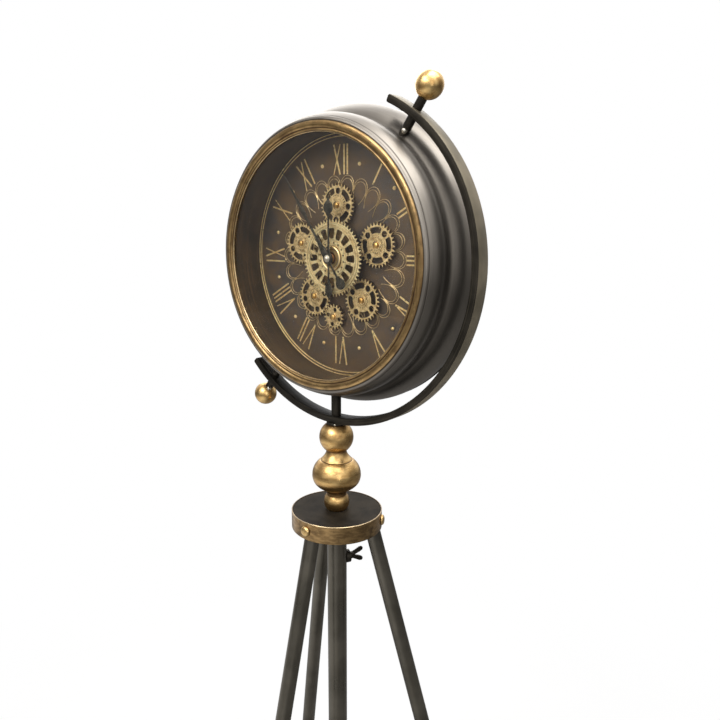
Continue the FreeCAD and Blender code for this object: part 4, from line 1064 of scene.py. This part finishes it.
# Hands: sawn from thin steel, blued nearly black, with polished edges. The hour hand has a disc near
# its tip and a leaf for a tail, the minute hand a long leaf and a round weight. A cap nut holds them.
blued = finished("Dark hand steel", 0.9)
cloud = grain(blued, 120.0, 4.0)
tone = blued.mix(cloud.between(0.35, 0.65), (64, 60, 51), (88, 83, 71))
hand_steel = surface(blued, tone, cloud.between(0.3, 0.7, 0.30, 0.42), grain(blued, 900.0, 2.0), 0.00004)


def mirrored_loop(right_side, spin=0.0):
    """A blade's loop from its right edge, given as (half width, height) from tail to tip."""
    loop = list(right_side) + [(-x, z) for x, z in reversed(right_side) if x > 0.01]
    aside, along = clockwise(1.0, spin)
    return [(x * along + z * aside, z * along - x * aside) for x, z in loop]


def bulge(middle, radius, first, last, steps=16):
    """Points on the right half of a disc on the hand, from one angle to another, in degrees from below."""
    round_it = (clockwise(radius, first + (last - first) * k / steps) for k in range(steps + 1))
    return [(aside, middle - below) for aside, below in round_it]


hour_tail = [(0, -62), (3, -59.5), (6.2, -55), (7.6, -50), (7.2, -45.5), (5, -40.5), (2.6, -36.5), (1.7, -32),
             (1.7, -14)]
hour_side = (hour_tail + bulge(0.0, 9.0, 18.0, 162.0) + [(1.7, 20), (1.5, 60)] + bulge(77.0, 9.5, 12.0, 148.0)
             + [(2.6, 88.2), (0, 93)])
minute_leaf = [(6.4, 12), (4.6, 22), (3, 32), (2, 44), (1.8, 62), (2.5, 74), (3.9, 84), (4.3, 90), (3.6, 98),
               (2.3, 112), (1.6, 136), (0.9, 160), (0, 172)]
minute_side = (bulge(-46.0, 9.0, 0.0, 166.0) + [(1.7, -33), (1.7, -12)] + bulge(0.0, 9.0, 18.0, 140.0)
               + minute_leaf)
hour_front, minute_front, blade, pipe_bore = 38.3, 35.6, 1.2, 2.1
hour_loops = [mirrored_loop(hour_side), round_loop(pipe_bore, steps=24)]
pipe = [(pipe_bore, 39.4), (4, 39.4), (4, shaft_back), (pipe_bore, shaft_back)]
parts = [cut_plate("Blade", hour_loops, hour_front, hour_front + blade, 0.3, hand_steel),
         on_dial("Pipe", pipe, hand_steel, steps=40)]
settle(merged("Hour_hand_sawn", parts), "hours", "hand_steel", "hour_hand")
arbor = [(0, 36), (2, 36), (2, shaft_back), (0, shaft_back)]
minute_loops = [mirrored_loop(minute_side, -35.5)]
parts = [cut_plate("Blade", minute_loops, minute_front, minute_front + blade, 0.3, hand_steel),
         on_dial("Arbor", arbor, hand_steel, steps=32, ring=False)]
settle(merged("Minute_hand_sawn", parts), "minutes", "hand_steel", "minute_hand")

nut_steel = gilt("Bright nut", (232, 226, 208), (190, 180, 156))
nut = [(0, 35.5), (5.5, 35.5), (5.5, 34.2), (5.1, 33.8), (4.4, 33.6), (4.2, 32.6), (3.4, 31.7), (2, 31.2),
       (0, 31.1)]
nut = on_dial("Cap_nut", nut, nut_steel, steps=40, smooth=40.0, ring=False)
settle(nut, "minutes", "hand_steel", "hand_nut")

# Glass: a flat 3 mm pane, cut round and bedded behind the bezel's lip, faintly smeared.
# It casts no shadow here, so the lamps reach the dial as they do through real clear glass.
clear = {"Transmission Weight": 1.0, "IOR": 1.45, "Base Color": (1.0, 1.0, 1.0, 1.0)}
pane = finished("Clear pane", 0.0, clear)
pane.feed(pane.shader.inputs["Roughness"], grain(pane, 16.0, 4.0).between(0.35, 0.7, 0.0, 0.05))
dress(pane.paint, "glass")
frame["nodes"]["glass"].visible_shadow = False

# Rear: a pressed steel cover in black, with the movement and the motor box let through it.
# Six small screws hold the cover to the drum's rim, and each box has its cell and its control.
dress(black_coat, "back_cover")
dress(black_plastic, "movement_box", "motor_box", "set_wheel", "motor_switch")
jacket = finished("Cell jacket", 0.7)
flecks = grain(jacket, 300.0, 2.0)
tone = jacket.mix(flecks, (176, 146, 84), (198, 166, 98))
dress(surface(jacket, tone, flecks.between(0.3, 0.7, 0.30, 0.42)), "movement_cell", "motor_cell")
screw = [(0, 107.6), (3.6, 107.6), (3.6, 108.6), (3, 109.4), (1.6, 109.8), (0, 109.9)]
screws = on_dial("Cover_screws", screw, black_coat, (0.0, 222.0), 24, 40.0, False)
settle(carried_round(screws, 6, 30.0, dial_centre, dial_axis), "head", "black_steel")
